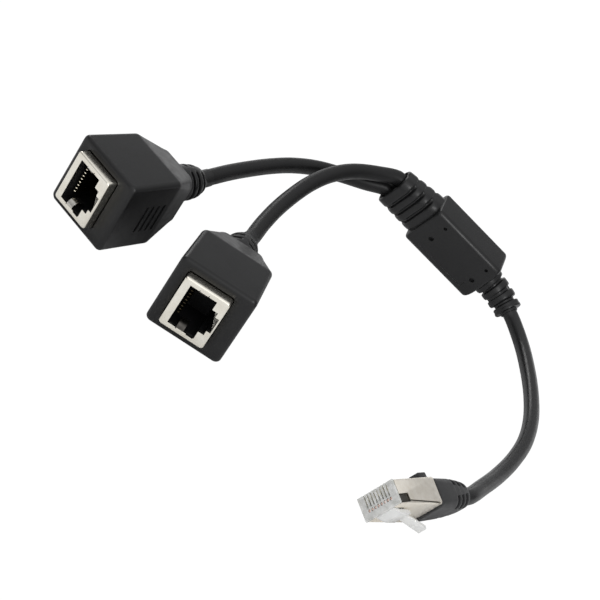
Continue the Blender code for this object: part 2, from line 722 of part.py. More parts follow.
# Cables
def smooth_line(points, step):
    """A smooth curve through the points, with stations an even distance apart."""
    rows = [Vector(p) for p in points]
    rows = [rows[0] * 2.0 - rows[1]] + rows + [rows[-1] * 2.0 - rows[-2]]
    fine = []
    for p0, p1, p2, p3 in zip(rows, rows[1:], rows[2:], rows[3:]):
        t1 = math.sqrt((p1 - p0).length)
        t2 = t1 + math.sqrt((p2 - p1).length)
        t3 = t2 + math.sqrt((p3 - p2).length)
        for k in range(24):
            t = t1 + (t2 - t1) * k / 24.0
            a1 = p0 * (t1 - t) / t1 + p1 * t / t1
            a2 = p1 * (t2 - t) / (t2 - t1) + p2 * (t - t1) / (t2 - t1)
            a3 = p2 * (t3 - t) / (t3 - t2) + p3 * (t - t2) / (t3 - t2)
            b1 = a1 * (t2 - t) / t2 + a2 * t / t2
            b2 = a2 * (t3 - t) / (t3 - t1) + a3 * (t - t1) / (t3 - t1)
            fine.append(b1 * (t2 - t) / (t2 - t1) + b2 * (t - t1) / (t2 - t1))
    fine.append(rows[-2])
    total = sum((b - a).length for a, b in zip(fine, fine[1:]))
    count = max(2, round(total / step))
    gap = total / count
    out = [fine[0]]
    walked = 0.0
    for a, b in zip(fine, fine[1:]):
        piece = (b - a).length
        while len(out) < count and walked + piece >= gap * len(out):
            out.append(a + (b - a) * ((gap * len(out) - walked) / piece))
        walked += piece
    out.append(fine[-1])
    return out


def cord(name, points, diameter, mat):
    line = bpy.data.curves.new(name, "CURVE")
    line.dimensions = "3D"
    line.bevel_depth = diameter / 2.0
    line.bevel_resolution = 3
    line.use_fill_caps = True
    line.render_resolution_u = 0
    stops = smooth_line(points, CORD_STEP)
    near = points[0] + (points[1] - points[0]).normalized() * 0.0012
    far = points[-1] + (points[-2] - points[-1]).normalized() * 0.0012
    stops = [stops[0], near] + stops[1:-1] + [far, stops[-1]]
    run = line.splines.new("POLY")
    run.points.add(len(stops) - 1)
    for spot, stop in zip(run.points, stops):
        spot.co = (*stop, 1.0)
    run.use_smooth = True
    line.materials.append(mat)
    made = bpy.data.objects.new(name, line)
    bpy.context.scene.collection.objects.link(made)
    return made


clear_scene()
housing_mat = material("moulded_black", (0.035, 0.035, 0.037), 0.5)
cord_mat = material("cable_jacket", (0.03, 0.03, 0.032), 0.4)
nickel_mat = material("nickel_shield", (0.75, 0.72, 0.66), 0.28, 1.0)
inner_mat = material("insulator_black", (0.015, 0.015, 0.016), 0.45)
gold_mat = material("gold_contact", (0.83, 0.62, 0.30), 0.25, 1.0)
clear_mat = material("clear_plastic", (0.88, 0.90, 0.88), 0.08, 0.0, 0.9)
wire_mat = material("conductor_insulation", (0.72, 0.42, 0.30), 0.5)

solids = []


def settle(made, place):
    made.matrix_world = place
    solids.append(made)
    return made


# Sockets
exits = {}
for label, tip, turn, bend in (
    ("a", SOCKET_A_EXIT, SOCKET_A_TURN, SOCKET_A_BEND), ("b", SOCKET_B_EXIT, SOCKET_B_TURN, SOCKET_B_BEND),
):
    reach = SOCKET_STRAIGHT + SOCKET_TAPER + RELIEF_LENGTH
    swing = Matrix.Rotation(turn, 4, "Z")
    tip_local = Vector((bend[0], reach, bend[1]))
    moved = swing @ tip_local
    place = Matrix.Translation((tip.x - moved.x, tip.y - moved.y, SOCKET_Z / 2.0)) @ swing
    settle(socket_overmould("socket_%s_overmould" % label, bend, housing_mat), place)
    inside = place @ Matrix.Translation((0.0, 0.0, SHIELD_RISE))
    settle(jack_shield("socket_%s_shield" % label, nickel_mat), inside)
    settle(jack_insulator("socket_%s_insulator" % label, inner_mat), inside)
    for i in range(CONTACTS):
        settle(jack_contact("socket_%s_contact_%d" % (label, i + 1), i, gold_mat), inside)
    run = Vector((2.0 * bend[0] / RELIEF_LENGTH, 1.0, 2.0 * bend[1] / RELIEF_LENGTH)).normalized()
    exits[label] = (place @ tip_local, (swing @ run.to_4d()).to_3d().normalized())

# Splitter body
turn = Matrix.Rotation(math.radians(BODY_TURN[2]), 4, "Z") @ Matrix.Rotation(math.radians(BODY_TURN[1]), 4, "Y")
turn = turn @ Matrix.Rotation(math.radians(BODY_TURN[0]), 4, "X")
body_place = Matrix.Translation(BODY_CENTRE) @ turn
settle(splitter_body("splitter_body", housing_mat), body_place)
body_dir = (turn @ Vector((1.0, 0.0, 0.0, 0.0))).to_3d()
twin_x = -BODY_X / 2.0 - TWIN_LENGTH + 0.0018 - GAP
twin_ends = {
    "b": body_place @ Vector((twin_x, 0.0, TWIN_SPLIT / 2.0 - TWIN_SAG)),
    "a": body_place @ Vector((twin_x, 0.0, -TWIN_SPLIT / 2.0 - TWIN_SAG)),
}
tail_tip, tail_run = tail_line(1.004)
tail_end = body_place @ tail_tip
tail_run = (turn @ tail_run.to_4d()).to_3d().normalized()

# Plug
turn = Matrix.Rotation(math.radians(PLUG_TURN[2]), 4, "Z") @ Matrix.Rotation(math.radians(PLUG_TURN[1]), 4, "Y")
turn = turn @ Matrix.Rotation(math.radians(PLUG_TURN[0]), 4, "X")
tail_local = Vector((0.0, CAN_Y + GAP + BOOT_Y, 0.0039))
plug_place = Matrix.Translation(PLUG_TAIL) @ turn @ Matrix.Translation(-tail_local)
settle(plug_body("plug_body", clear_mat), plug_place)
settle(plug_can("plug_shield", nickel_mat), plug_place)
settle(plug_boot("plug_boot", housing_mat), plug_place)
for i in range(CONTACTS):
    settle(plug_blade("plug_blade_%d" % (i + 1), i, gold_mat), plug_place)
    settle(plug_wire("plug_wire_%d" % (i + 1), i, wire_mat), plug_place)
plug_dir = (turn @ Vector((0.0, 1.0, 0.0, 0.0))).to_3d()


# Cables between the ends
def ended(start, start_dir, free, end, end_dir, lead, arrive):
    """A route that leaves and arrives straight, with a small gap at both ends."""
    first = start + start_dir * GAP
    last = end - end_dir * GAP
    return [first, first + start_dir * lead] + [Vector(p) for p in free] + [last - end_dir * arrive, last]


cords = []
for label, free in (("a", BRANCH_A_ROUTE), ("b", BRANCH_B_ROUTE)):
    start, start_dir = exits[label]
    route = ended(start, start_dir, free, twin_ends[label], body_dir, 0.002, 0.002)
    cords.append(cord("branch_cable_%s" % label, route, BRANCH_DIAMETER, cord_mat))
route = ended(tail_end, tail_run, TRUNK_ROUTE, PLUG_TAIL, -plug_dir, 0.002, 0.003)
cords.append(cord("trunk_cable", route, TRUNK_DIAMETER, cord_mat))

# Bring the middle of the footprint over the origin and the lowest point to the floor
bpy.context.view_layer.update()
spots = [item.matrix_world @ v.co for item in solids for v in item.data.vertices]
shift = Vector((
    -(min(p.x for p in spots) + max(p.x for p in spots)) / 2.0,
    -(min(p.y for p in spots) + max(p.y for p in spots)) / 2.0,
    -min(p.z for p in spots),
))
for item in solids + cords:
    item.matrix_world = Matrix.Translation(shift) @ item.matrix_world
print("shift", [round(v, 6) for v in shift])
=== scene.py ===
import math

import bmesh
import bpy
from mathutils import Matrix, Vector


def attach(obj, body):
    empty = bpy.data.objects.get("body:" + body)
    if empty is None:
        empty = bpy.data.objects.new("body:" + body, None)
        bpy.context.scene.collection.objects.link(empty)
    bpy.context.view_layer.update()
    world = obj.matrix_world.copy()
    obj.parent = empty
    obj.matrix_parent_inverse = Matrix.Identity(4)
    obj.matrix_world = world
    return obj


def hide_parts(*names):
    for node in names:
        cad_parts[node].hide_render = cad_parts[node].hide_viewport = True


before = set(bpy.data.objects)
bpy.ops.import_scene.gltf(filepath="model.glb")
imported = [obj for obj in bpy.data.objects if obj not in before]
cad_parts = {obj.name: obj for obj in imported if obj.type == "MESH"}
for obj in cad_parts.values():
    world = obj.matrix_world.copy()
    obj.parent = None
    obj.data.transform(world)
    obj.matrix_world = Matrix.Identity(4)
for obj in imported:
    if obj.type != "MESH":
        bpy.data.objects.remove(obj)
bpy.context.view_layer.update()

# Sizes in metres
GAP = 0.0003
SOCKET_X = 0.02151
SOCKET_Z = 0.02132
SOCKET_STRAIGHT = 0.01784
SOCKET_TAPER = 0.0100
SOCKET_DRAFT_X = 0.00082
SOCKET_DRAFT_Z = 0.00018
SOCKET_EDGE = 0.0012
NECK_X = 0.0150
NECK_Z = 0.0156
NECK_EDGE = 0.0009
RELIEF_LENGTH = 0.01493
RELIEF_RADIUS = 0.0047
RELIEF_NOSE = 0.00242
SLOT_WIDTH = 0.0008
SLOT_DEPTH = 0.0014
GRIP_COUNT = 4
GRIP_PITCH = 0.0021
GRIP_FIRST = 0.0096
GRIP_WIDTH = 0.0010
GRIP_DEPTH = 0.0005
GRIP_LENGTH = 0.0086
GRIP_DROP = 0.0006
SHIELD_X = 0.0128
SHIELD_Z = 0.0152
SHIELD_SHIFT = -0.00098
SHIELD_RISE = 0.0004
SHIELD_PROUD = 0.00305
SHIELD_DEPTH = 0.0130
SHIELD_WALL = 0.00045
BAY_DEPTH = 0.0115
MOUTH_X = 0.00755
MOUTH_Z = 0.0123
MOUTH_LOW = -0.0053
STEP_X = 0.0016
STEP_Z = 0.0074
KEY_X = 0.0011
KEY_Z = 0.0046
CONTACTS = 8
PITCH = 0.00102
CONTACT = 0.00036
CONTACT_BEND = -0.0005
SPRING_WIDTH = 0.0024
SPRING = 0.0003
BODY_X = 0.02535
BODY_Y = 0.01069
BODY_Z = 0.0153
BODY_CORNER = 0.0017
TWIN_LENGTH = 0.0130
TWIN_Y = 0.0092
TWIN_Z = 0.0143
TWIN_TAPER = 0.87
TWIN_SAG = 0.0010
TWIN_SPLIT = 0.0056
TWIN_MOUTH = 0.0018
TWIN_LIP = 0.0006
TAIL_LENGTH = 0.0111
TAIL_RADIUS = 0.0047
TAIL_TURN = 0.0036
TAIL_END = 1.004
PIN_BIG = 0.0008
PIN_SMALL = 0.00055
PLUG_X = 0.01168
PLUG_Z = 0.0061
CAN_Y = 0.01605
CAN_REAR_Z = 0.00726
CAN_WALL = 0.00032
CAN_FRONT = 0.0009
COMB_Y = 0.0065
COMB_Z = 0.0033
COMB_SLOT = 0.0005
COMB_MARGIN = 0.0006
BLADE = 0.0003
WIRE_RADIUS = 0.00034
WIRE_LIFT = 0.0007
LATCH_WIDE = 0.0056
LATCH_FINGER = 0.0027
LATCH_REACH = 0.0123
BOOT_Y = 0.0161
BOOT_X = 0.0116
BOOT_Z = 0.0076
BOOT_MID = 0.0039
TONGUE_X = 0.0030
BRANCH_DIAMETER = 0.0045
TRUNK_DIAMETER = 0.0044

# Places in the frame
SHIFT = Vector((0.002432, 0.004388, -0.000007))
# Each socket's lead exit, turn and relief bend, then lifts of neck and relief, and what the
# straight part is shorter by
SOCKETS = (
    ("a", Vector((-0.039044, 0.004682, 0.0)), -26.683, (0.0, 0.0013), (0.0, 0.0007, 0.0002)),
    ("b", Vector((-0.019859, -0.007535, 0.0)), 3.159, (0.0009, 0.0), (-0.0008, -0.0004, 0.0010)),
)
BODY_CENTRE = Vector((0.028336, 0.055949, 0.012549))
BODY_TURN = (9.724, 15.346, 7.255)
PLUG_TAIL = Vector((0.060402, -0.043655, 0.0051))
PLUG_TURN = (-164.755, 72.19, 161.092)
BRANCH_A_ROUTE = [
    (-0.03537, 0.01254, 0.01301), (-0.03172, 0.02013, 0.01352), (-0.02776, 0.02756, 0.01398),
    (-0.02313, 0.03459, 0.01447), (-0.01751, 0.04086, 0.01481), (-0.01090, 0.04609, 0.01492),
    (-0.00366, 0.05041, 0.01525),
]
BRANCH_B_ROUTE = [
    (-0.01973, 0.00153, 0.01144), (-0.01917, 0.01017, 0.01301), (-0.01785, 0.01866, 0.01497),
    (-0.01584, 0.02698, 0.01700), (-0.01269, 0.03502, 0.01873), (-0.00810, 0.04242, 0.01998),
    (-0.00200, 0.04868, 0.02069),
]
TRUNK_ROUTE = [
    (0.06003, 0.04707, 0.00250), (0.06481, 0.03635, 0.00222), (0.06837, 0.02515, 0.00229),
    (0.07078, 0.01365, 0.00232), (0.07144, 0.00193, 0.00229), (0.07020, -0.00975, 0.00224),
    (0.06778, -0.02124, 0.00259), (0.06470, -0.03253, 0.00377),
]

# Camera: tilt and roll in radians, distance in metres, field as pixels of focal length on 600
VIEW_TILT = 0.52598
VIEW_ROLL = 0.60408
VIEW_DISTANCE = 0.510177
VIEW_FOCAL = 1900.03 / 600.0

# Points round an outline, and the angle in degrees from which an edge stays sharp
RING = 96
SHARP = 38.0

# Room: even light, the middle of the painted shade on the floor, and soft glows by direction and strength
ROOM_EVEN = 0.24
FLOOR_SHADE = (-0.026, -0.001, 0.0)
ROOM_GLOWS = (((0.0, 0.0, 1.0), 0.58), ((0.0, 1.0, 0.25), 0.14), ((0.0, -1.0, 0.4), 0.71))


# Camera
def place_camera():
    level = Vector((1.0, 0.0, 0.0))
    raised = Vector((0.0, math.sin(VIEW_TILT), math.cos(VIEW_TILT)))
    ahead = Vector((0.0, math.cos(VIEW_TILT), -math.sin(VIEW_TILT)))
    right = level * math.cos(VIEW_ROLL) + raised * math.sin(VIEW_ROLL)
    upper = raised * math.cos(VIEW_ROLL) - level * math.sin(VIEW_ROLL)
    spot = SHIFT - ahead * VIEW_DISTANCE
    data = bpy.data.cameras.new("camera")
    data.sensor_width = 36.0
    data.lens = 36.0 * VIEW_FOCAL
    data.clip_start = 0.01
    data.clip_end = 20.0
    eye = bpy.data.objects.new("camera", data)
    turn = Matrix((right, upper, -ahead)).transposed().to_4x4()
    eye.matrix_world = Matrix.Translation(spot) @ turn
    bpy.context.scene.collection.objects.link(eye)
    bpy.context.scene.camera = eye


# Shape helpers
def outline(half_a, half_b, radius, shift_a=0.0, shift_b=0.0, ring=RING):
    """Points round a rounded rectangle, as many for any size so that outlines join."""
    per = ring // 4
    radius = min(radius, half_a, half_b)
    points = []
    for corner, (sa, sb) in enumerate(((1, 1), (-1, 1), (-1, -1), (1, -1))):
        for i in range(per):
            turn = math.radians(90.0 * (corner + (i + 0.5) / per))
            a = sa * (half_a - radius) + radius * math.cos(turn)
            b = sb * (half_b - radius) + radius * math.sin(turn)
            points.append((a + shift_a, b + shift_b))
    return points


def circle(x, z, radius, count=16, first=0.5):
    """Corners of a round section about a centre."""
    turns = [2.0 * math.pi * (k + first) / count for k in range(count)]
    return [(x + radius * math.cos(t), z + radius * math.sin(t)) for t in turns]


def contact_at(i):
    """How far a contact of the row stands from the middle."""
    return (i - (CONTACTS - 1) / 2.0) * PITCH


def spun(turns):
    """Turns in degrees about X, then Y, then Z."""
    made = Matrix.Identity(4)
    for turn, axis in zip(turns, "XYZ"):
        made = Matrix.Rotation(math.radians(turn), 4, axis) @ made
    return made


def ease(value, low, high):
    share = min(1.0, max(0.0, (value - low) / (high - low)))
    return share * share * (3.0 - 2.0 * share)


def sideways(i):
    """How far a point of an outline lies to the sides, from 0 to 1."""
    return abs(math.cos(2.0 * math.pi * (i + 0.5) / RING))


def side_slots(i):
    return ease(sideways(i), 0.20, 0.32)


def top_slots(i):
    return 1.0 - 0.55 * ease(sideways(i), 0.55, 0.75)


def edge_slots(i):
    """Slots round the four edges, with a bridge in the middle of each face."""
    per = RING // 4
    share = abs((i % per + 0.5) / per - 0.5)
    return 1.0 - ease(share, 0.39, 0.46)


def broad_sides(i):
    return 0.14 + 0.86 * ease(sideways(i), 0.30, 0.70)


def all_round(i):
    return 1.0


def drawn(outer, depth, where=all_round):
    """The outline with its points moved in by depth, as far as the slot runs."""
    mid_a = sum(p[0] for p in outer) / len(outer)
    mid_b = sum(p[1] for p in outer) / len(outer)
    out = []
    for i, (a, b) in enumerate(outer):
        away = math.hypot(a - mid_a, b - mid_b)
        keep = 1.0 - depth * where(i) / away
        out.append((mid_a + (a - mid_a) * keep, mid_b + (b - mid_b) * keep))
    return out


def groove(half, depth, soft=0.00022):
    """Offsets along and depths across a groove with rounded lips, from one lip to the other."""
    side = [
        (half + soft * 1.6, 0.0), (half + soft * 0.9, depth * 0.03), (half + soft * 0.4, depth * 0.12),
        (half + soft * 0.1, depth * 0.34), (half - soft * 0.1, depth * 0.85), (half - soft * 0.5, depth),
    ]
    return [(-a, d) for a, d in side] + [(a, d) for a, d in reversed(side)]


def mark_edges(shape):
    """Smooth faces, with sharp edges where two of them meet at more than the angle."""
    for face in shape.faces:
        face.smooth = True
    for edge in shape.edges:
        edge.smooth = len(edge.link_faces) != 2 or edge.calc_face_angle(0.0) < math.radians(SHARP)


def mesh_object(name, shape, mat):
    bmesh.ops.recalc_face_normals(shape, faces=shape.faces[:])
    mark_edges(shape)
    mesh = bpy.data.meshes.new(name)
    shape.to_mesh(mesh)
    shape.free()
    made = bpy.data.objects.new(name, mesh)
    bpy.context.scene.collection.objects.link(made)
    if mat:
        mesh.materials.append(mat)
    return made


def loft(name, rings, mat, closed=False):
    """A skin through a row of outlines, capped at both ends or joined end to start."""
    shape = bmesh.new()
    rows = [[shape.verts.new(p) for p in ring] for ring in rings]
    if closed:
        rows.append(rows[0])
    for row, after in zip(rows, rows[1:]):
        count = len(row)
        for i in range(count):
            j = (i + 1) % count
            shape.faces.new((row[i], row[j], after[j], after[i]))
    if not closed:
        shape.faces.new(list(reversed(rows[0])))
        shape.faces.new(rows[-1])
    return mesh_object(name, shape, mat)


def prism(name, corners, low, high, axis, mat=None, bevel=0.0, steps=2):
    def at(pair, level):
        if axis == "X":
            return (level, pair[0], pair[1])
        if axis == "Y":
            return (pair[0], level, pair[1])
        return (pair[0], pair[1], level)

    shape = bmesh.new()
    base = shape.faces.new([shape.verts.new(at(pair, low)) for pair in corners])
    grown = bmesh.ops.extrude_face_region(shape, geom=[base])
    move = Vector(at((0.0, 0.0), high - low))
    moved = [item for item in grown["geom"] if isinstance(item, bmesh.types.BMVert)]
    bmesh.ops.translate(shape, verts=moved, vec=move)
    bmesh.ops.recalc_face_normals(shape, faces=shape.faces[:])
    if bevel > 0.0:
        bmesh.ops.bevel(
            shape, geom=shape.edges[:], offset=bevel, segments=steps, affect="EDGES", profile=0.5
        )
    return mesh_object(name, shape, mat)


def block(name, low, high, mat=None, bevel=0.0, steps=2):
    corners = [(low[0], low[2]), (high[0], low[2]), (high[0], high[2]), (low[0], high[2])]
    return prism(name, corners, low[1], high[1], "Y", mat, bevel, steps)


def gather(name, pieces, mat=None):
    """Several separate pieces as one object."""
    shape = bmesh.new()
    for piece in pieces:
        shape.from_mesh(piece.data)
        bpy.data.objects.remove(piece, do_unlink=True)
    mesh = bpy.data.meshes.new(name)
    shape.to_mesh(mesh)
    shape.free()
    if mat:
        mesh.materials.clear()
        mesh.materials.append(mat)
    made = bpy.data.objects.new(name, mesh)
    bpy.context.scene.collection.objects.link(made)
    return made


def keep_modifiers(target):
    bpy.context.view_layer.update()
    view = bpy.context.evaluated_depsgraph_get()
    result = bpy.data.meshes.new_from_object(target.evaluated_get(view))
    target.modifiers.clear()
    target.data = result
    return target


def combine(target, tool, kind):
    step = target.modifiers.new(kind.title(), "BOOLEAN")
    step.operation = kind
    step.solver = "EXACT"
    step.use_self = True
    step.object = tool
    keep_modifiers(target)
    bpy.data.objects.remove(tool, do_unlink=True)
    shape = bmesh.new()
    shape.from_mesh(target.data)
    mark_edges(shape)
    shape.to_mesh(target.data)
    shape.free()
    return target


def rounded(target, width, steps=2, angle=50.0):
    """Small rounded edges wherever two faces meet at more than the angle."""
    step = target.modifiers.new("Edges", "BEVEL")
    step.width = width
    step.segments = steps
    step.limit_method = "ANGLE"
    step.angle_limit = math.radians(angle)
    step.use_clamp_overlap = True
    step.harden_normals = True
    return keep_modifiers(target)


def strip(name, path, width, thick):
    """A bent flat strip: path holds pairs (b, y) in one plane, width runs along X."""
    rings = []
    for i, (b, y) in enumerate(path):
        before = Vector(path[max(i - 1, 0)])
        after = Vector(path[min(i + 1, len(path) - 1)])
        run = (after - before).normalized()
        side = Vector((-run.y, run.x)) * thick / 2.0
        rings.append([
            (-width / 2.0, y - side.y, b - side.x),
            (width / 2.0, y - side.y, b - side.x),
            (width / 2.0, y + side.y, b + side.x),
            (-width / 2.0, y + side.y, b + side.x),
        ])
    return loft(name, rings, None)


def smooth_line(points, step):
    """A smooth curve through the points, with stations an even distance apart."""
    rows = [Vector(p) for p in points]
    rows = [rows[0] * 2.0 - rows[1]] + rows + [rows[-1] * 2.0 - rows[-2]]
    fine = []
    for p0, p1, p2, p3 in zip(rows, rows[1:], rows[2:], rows[3:]):
        t1 = math.sqrt((p1 - p0).length)
        t2 = t1 + math.sqrt((p2 - p1).length)
        t3 = t2 + math.sqrt((p3 - p2).length)
        for k in range(24):
            t = t1 + (t2 - t1) * k / 24.0
            a1 = p0 * (t1 - t) / t1 + p1 * t / t1
            a2 = p1 * (t2 - t) / (t2 - t1) + p2 * (t - t1) / (t2 - t1)
            a3 = p2 * (t3 - t) / (t3 - t2) + p3 * (t - t2) / (t3 - t2)
            b1 = a1 * (t2 - t) / t2 + a2 * t / t2
            b2 = a2 * (t3 - t) / (t3 - t1) + a3 * (t - t1) / (t3 - t1)
            fine.append(b1 * (t2 - t) / (t2 - t1) + b2 * (t - t1) / (t2 - t1))
    fine.append(rows[-2])
    total = sum((b - a).length for a, b in zip(fine, fine[1:]))
    count = max(2, round(total / step))
    gap = total / count
    out = [fine[0]]
    walked = 0.0
    for a, b in zip(fine, fine[1:]):
        piece = (b - a).length
        while len(out) < count and walked + piece >= gap * len(out):
            out.append(a + (b - a) * ((gap * len(out) - walked) / piece))
        walked += piece
    out.append(fine[-1])
    return out


# Materials
class Finish:
    """A Principled material with a small set of noise-driven details in metres."""

    def __init__(self, name, colour, rough, metal=0.0):
        self.mat = bpy.data.materials.new(name)
        self.mat.use_nodes = True
        self.nodes = self.mat.node_tree.nodes
        self.links = self.mat.node_tree.links
        self.shader = self.nodes["Principled BSDF"]
        self.colour = colour
        self.rough = rough
        self.shader.inputs["Base Color"].default_value = (*colour, 1.0)
        self.shader.inputs["Roughness"].default_value = rough
        self.shader.inputs["Metallic"].default_value = metal
        self.place = self.nodes.new("ShaderNodeTexCoord").outputs["Object"]
        self.normal = None

    def set(self, **values):
        for key, value in values.items():
            self.shader.inputs[key.replace("_", " ")].default_value = value
        return self

    def noise(self, scale, detail=4.0, rough=0.55, stretch=None):
        node = self.nodes.new("ShaderNodeTexNoise")
        node.inputs["Scale"].default_value = scale
        node.inputs["Detail"].default_value = detail
        node.inputs["Roughness"].default_value = rough
        place = self.place
        if stretch:
            mapping = self.nodes.new("ShaderNodeMapping")
            mapping.inputs["Scale"].default_value = stretch
            self.links.new(place, mapping.inputs["Vector"])
            place = mapping.outputs["Vector"]
        self.links.new(place, node.inputs["Vector"])
        return node.outputs["Fac"]

    def span(self, source, low, high, start=0.3, end=0.7):
        node = self.nodes.new("ShaderNodeMapRange")
        node.inputs["From Min"].default_value = start
        node.inputs["From Max"].default_value = end
        node.inputs["To Min"].default_value = low
        node.inputs["To Max"].default_value = high
        self.links.new(source, node.inputs["Value"])
        return node.outputs["Result"]

    def tint(self, source, low, high, start=0.3, end=0.7):
        node = self.nodes.new("ShaderNodeMix")
        node.data_type = "RGBA"
        for key, value in (("A", low), ("B", high)):
            for item in node.inputs:
                if item.name == key and item.type == "RGBA":
                    item.default_value = (*value, 1.0)
        out = [item for item in node.outputs if item.type == "RGBA"][0]
        self.links.new(self.span(source, 0.0, 1.0, start, end), node.inputs["Factor"])
        self.links.new(out, self.shader.inputs["Base Color"])
        return self

    def patchy(self, source, spread):
        varied = self.span(source, self.rough - spread, self.rough + spread)
        self.links.new(varied, self.shader.inputs["Roughness"])
        return self

    def bump(self, source, strength, depth):
        node = self.nodes.new("ShaderNodeBump")
        node.inputs["Strength"].default_value = strength
        node.inputs["Distance"].default_value = depth
        self.links.new(source, node.inputs["Height"])
        if self.normal:
            self.links.new(self.normal, node.inputs["Normal"])
        self.normal = node.outputs["Normal"]
        self.links.new(self.normal, self.shader.inputs["Normal"])
        return self

    def soften(self, radius):
        """Rounds the look of cut edges."""
        node = self.nodes.new("ShaderNodeBevel")
        node.samples = 4
        node.inputs["Radius"].default_value = radius
        self.normal = node.outputs["Normal"]
        self.links.new(self.normal, self.shader.inputs["Normal"])
        return self


def scaled(colour, factor):
    return tuple(min(1.0, c * factor) for c in colour)


def finished(name, colour, rough, metal, values, soften, tint, patch, bumps):
    """A material from its row: settings, soft edges, tint, uneven sheen and bumps."""
    made = Finish(name, colour, rough, metal).set(**values)
    if soften:
        made.soften(soften)
    grain, low, high = tint
    made.tint(made.noise(*grain), low, high)
    if patch:
        made.patchy(made.noise(patch[0]), patch[1])
    for grain, strength, depth in bumps:
        made.bump(made.noise(*grain), strength, depth)
    return made.mat


def build_materials():
    mats = {}
    black = (0.0080, 0.0080, 0.0084)
    for key, name, colour, rough in (
        ("housing", "moulded_black", black, 0.36), ("splitter", "moulded_black_splitter", black, 0.33),
        ("boot", "moulded_black_boot", (0.0300, 0.0300, 0.0310), 0.48),
    ):
        mats[key] = finished(
            name, colour, rough, 0.0, {"Specular_IOR_Level": 0.36}, 0.00012,
            ((140.0, 3.0), scaled(colour, 0.86), scaled(colour, 1.16)), (420.0, 0.05),
            (((3800.0, 3.0, 0.6), 0.16, 0.00006), ((260.0, 2.0), 0.10, 0.00010)),
        )
    sheath = (0.0080, 0.0080, 0.0083)
    for key, rough, shine in (("jacket", 0.31, 0.42), ("branch", 0.40, 0.27)):
        mats[key] = finished(
            "cable_" + key, sheath, rough, 0.0, {"Specular_IOR_Level": shine}, None,
            ((90.0, 3.0), scaled(sheath, 0.85), scaled(sheath, 1.2)), (700.0, 0.06),
            (((1300.0, 2.0, 0.5), 0.06, 0.00004), ((240.0, 2.0), 0.10, 0.00010)),
        )
    plastic = (0.95, 0.955, 0.94)
    for key, *row in (
        ("nickel", "nickel_shield", (0.92, 0.88, 0.78), 0.20, 1.0, {}, 0.00010,
         ((420.0, 5.0, 0.6), (0.87, 0.825, 0.72), (0.97, 0.94, 0.85)), (1500.0, 0.07),
         (((900.0,), 0.10, 0.00005), ((1800.0, 2.0, 0.5, (1.0, 1.0, 0.06)), 0.06, 0.00003))),
        ("can", "nickel_plug", (0.92, 0.87, 0.78), 0.36, 1.0, {}, 0.00012,
         ((520.0, 6.0, 0.65), (0.85, 0.79, 0.69), (0.985, 0.94, 0.855)), (1500.0, 0.08),
         (((800.0, 5.0), 0.12, 0.00006),)),
        ("spring", "spring_steel", (0.62, 0.60, 0.56), 0.26, 1.0, {}, None,
         ((600.0,), (0.50, 0.48, 0.45), (0.70, 0.68, 0.63)), None, (((2500.0,), 0.08, 0.00004),)),
        ("inner", "insulator_black", (0.006, 0.006, 0.0065), 0.5, 0.0, {"Specular_IOR_Level": 0.25}, None,
         ((300.0,), (0.004, 0.004, 0.0045), (0.008, 0.008, 0.0085)), None,
         (((2500.0,), 0.12, 0.00005),)),
        ("gold", "gold_contact", (0.99, 0.90, 0.72), 0.18, 1.0, {}, None,
         ((900.0,), (0.97, 0.86, 0.66), (1.0, 0.95, 0.80)), (2000.0, 0.05),
         (((3500.0,), 0.05, 0.00003),)),
        # A darkened copy of the gold: painted shade for contacts deep in a socket's mouth
        ("dull", "gold_shaded", (0.05, 0.04, 0.024), 0.34, 1.0, {}, None,
         ((900.0,), (0.03, 0.024, 0.015), (0.07, 0.056, 0.033)), None, (((3500.0,), 0.05, 0.00003),)),
        # A darkened copy of the spring steel: painted shade, for socket B's springs and the dark pieces in
        # the plug's notches
        ("shade", "spring_shaded", (0.085, 0.080, 0.074), 0.34, 1.0, {}, None,
         ((600.0,), (0.06, 0.056, 0.052), (0.12, 0.112, 0.10)), None, (((2500.0,), 0.08, 0.00004),)),
        ("clear", "clear_plastic", plastic, 0.10, 0.0,
         {"Transmission_Weight": 0.34, "IOR": 1.49, "Specular_IOR_Level": 0.7}, None,
         ((620.0, 3.0), (0.66, 0.665, 0.63), (1.0, 1.0, 0.985)), (900.0, 0.08),
         (((1000.0, 3.0), 0.30, 0.00014),)),
        ("milky", "clear_latch", plastic, 0.20, 0.0,
         {"Transmission_Weight": 0.28, "IOR": 1.49, "Specular_IOR_Level": 0.6}, None,
         ((320.0,), (0.90, 0.905, 0.885), (0.97, 0.97, 0.96)), (900.0, 0.06),
         (((1200.0, 3.0), 0.10, 0.00008),)),
        ("wire", "conductor_insulation", (0.92, 0.68, 0.60), 0.42, 0.0, {}, None,
         ((900.0,), (0.86, 0.56, 0.46), (0.97, 0.80, 0.74)), None, (((2500.0,), 0.10, 0.00004),)),
    ):
        mats[key] = finished(*row)
    return mats

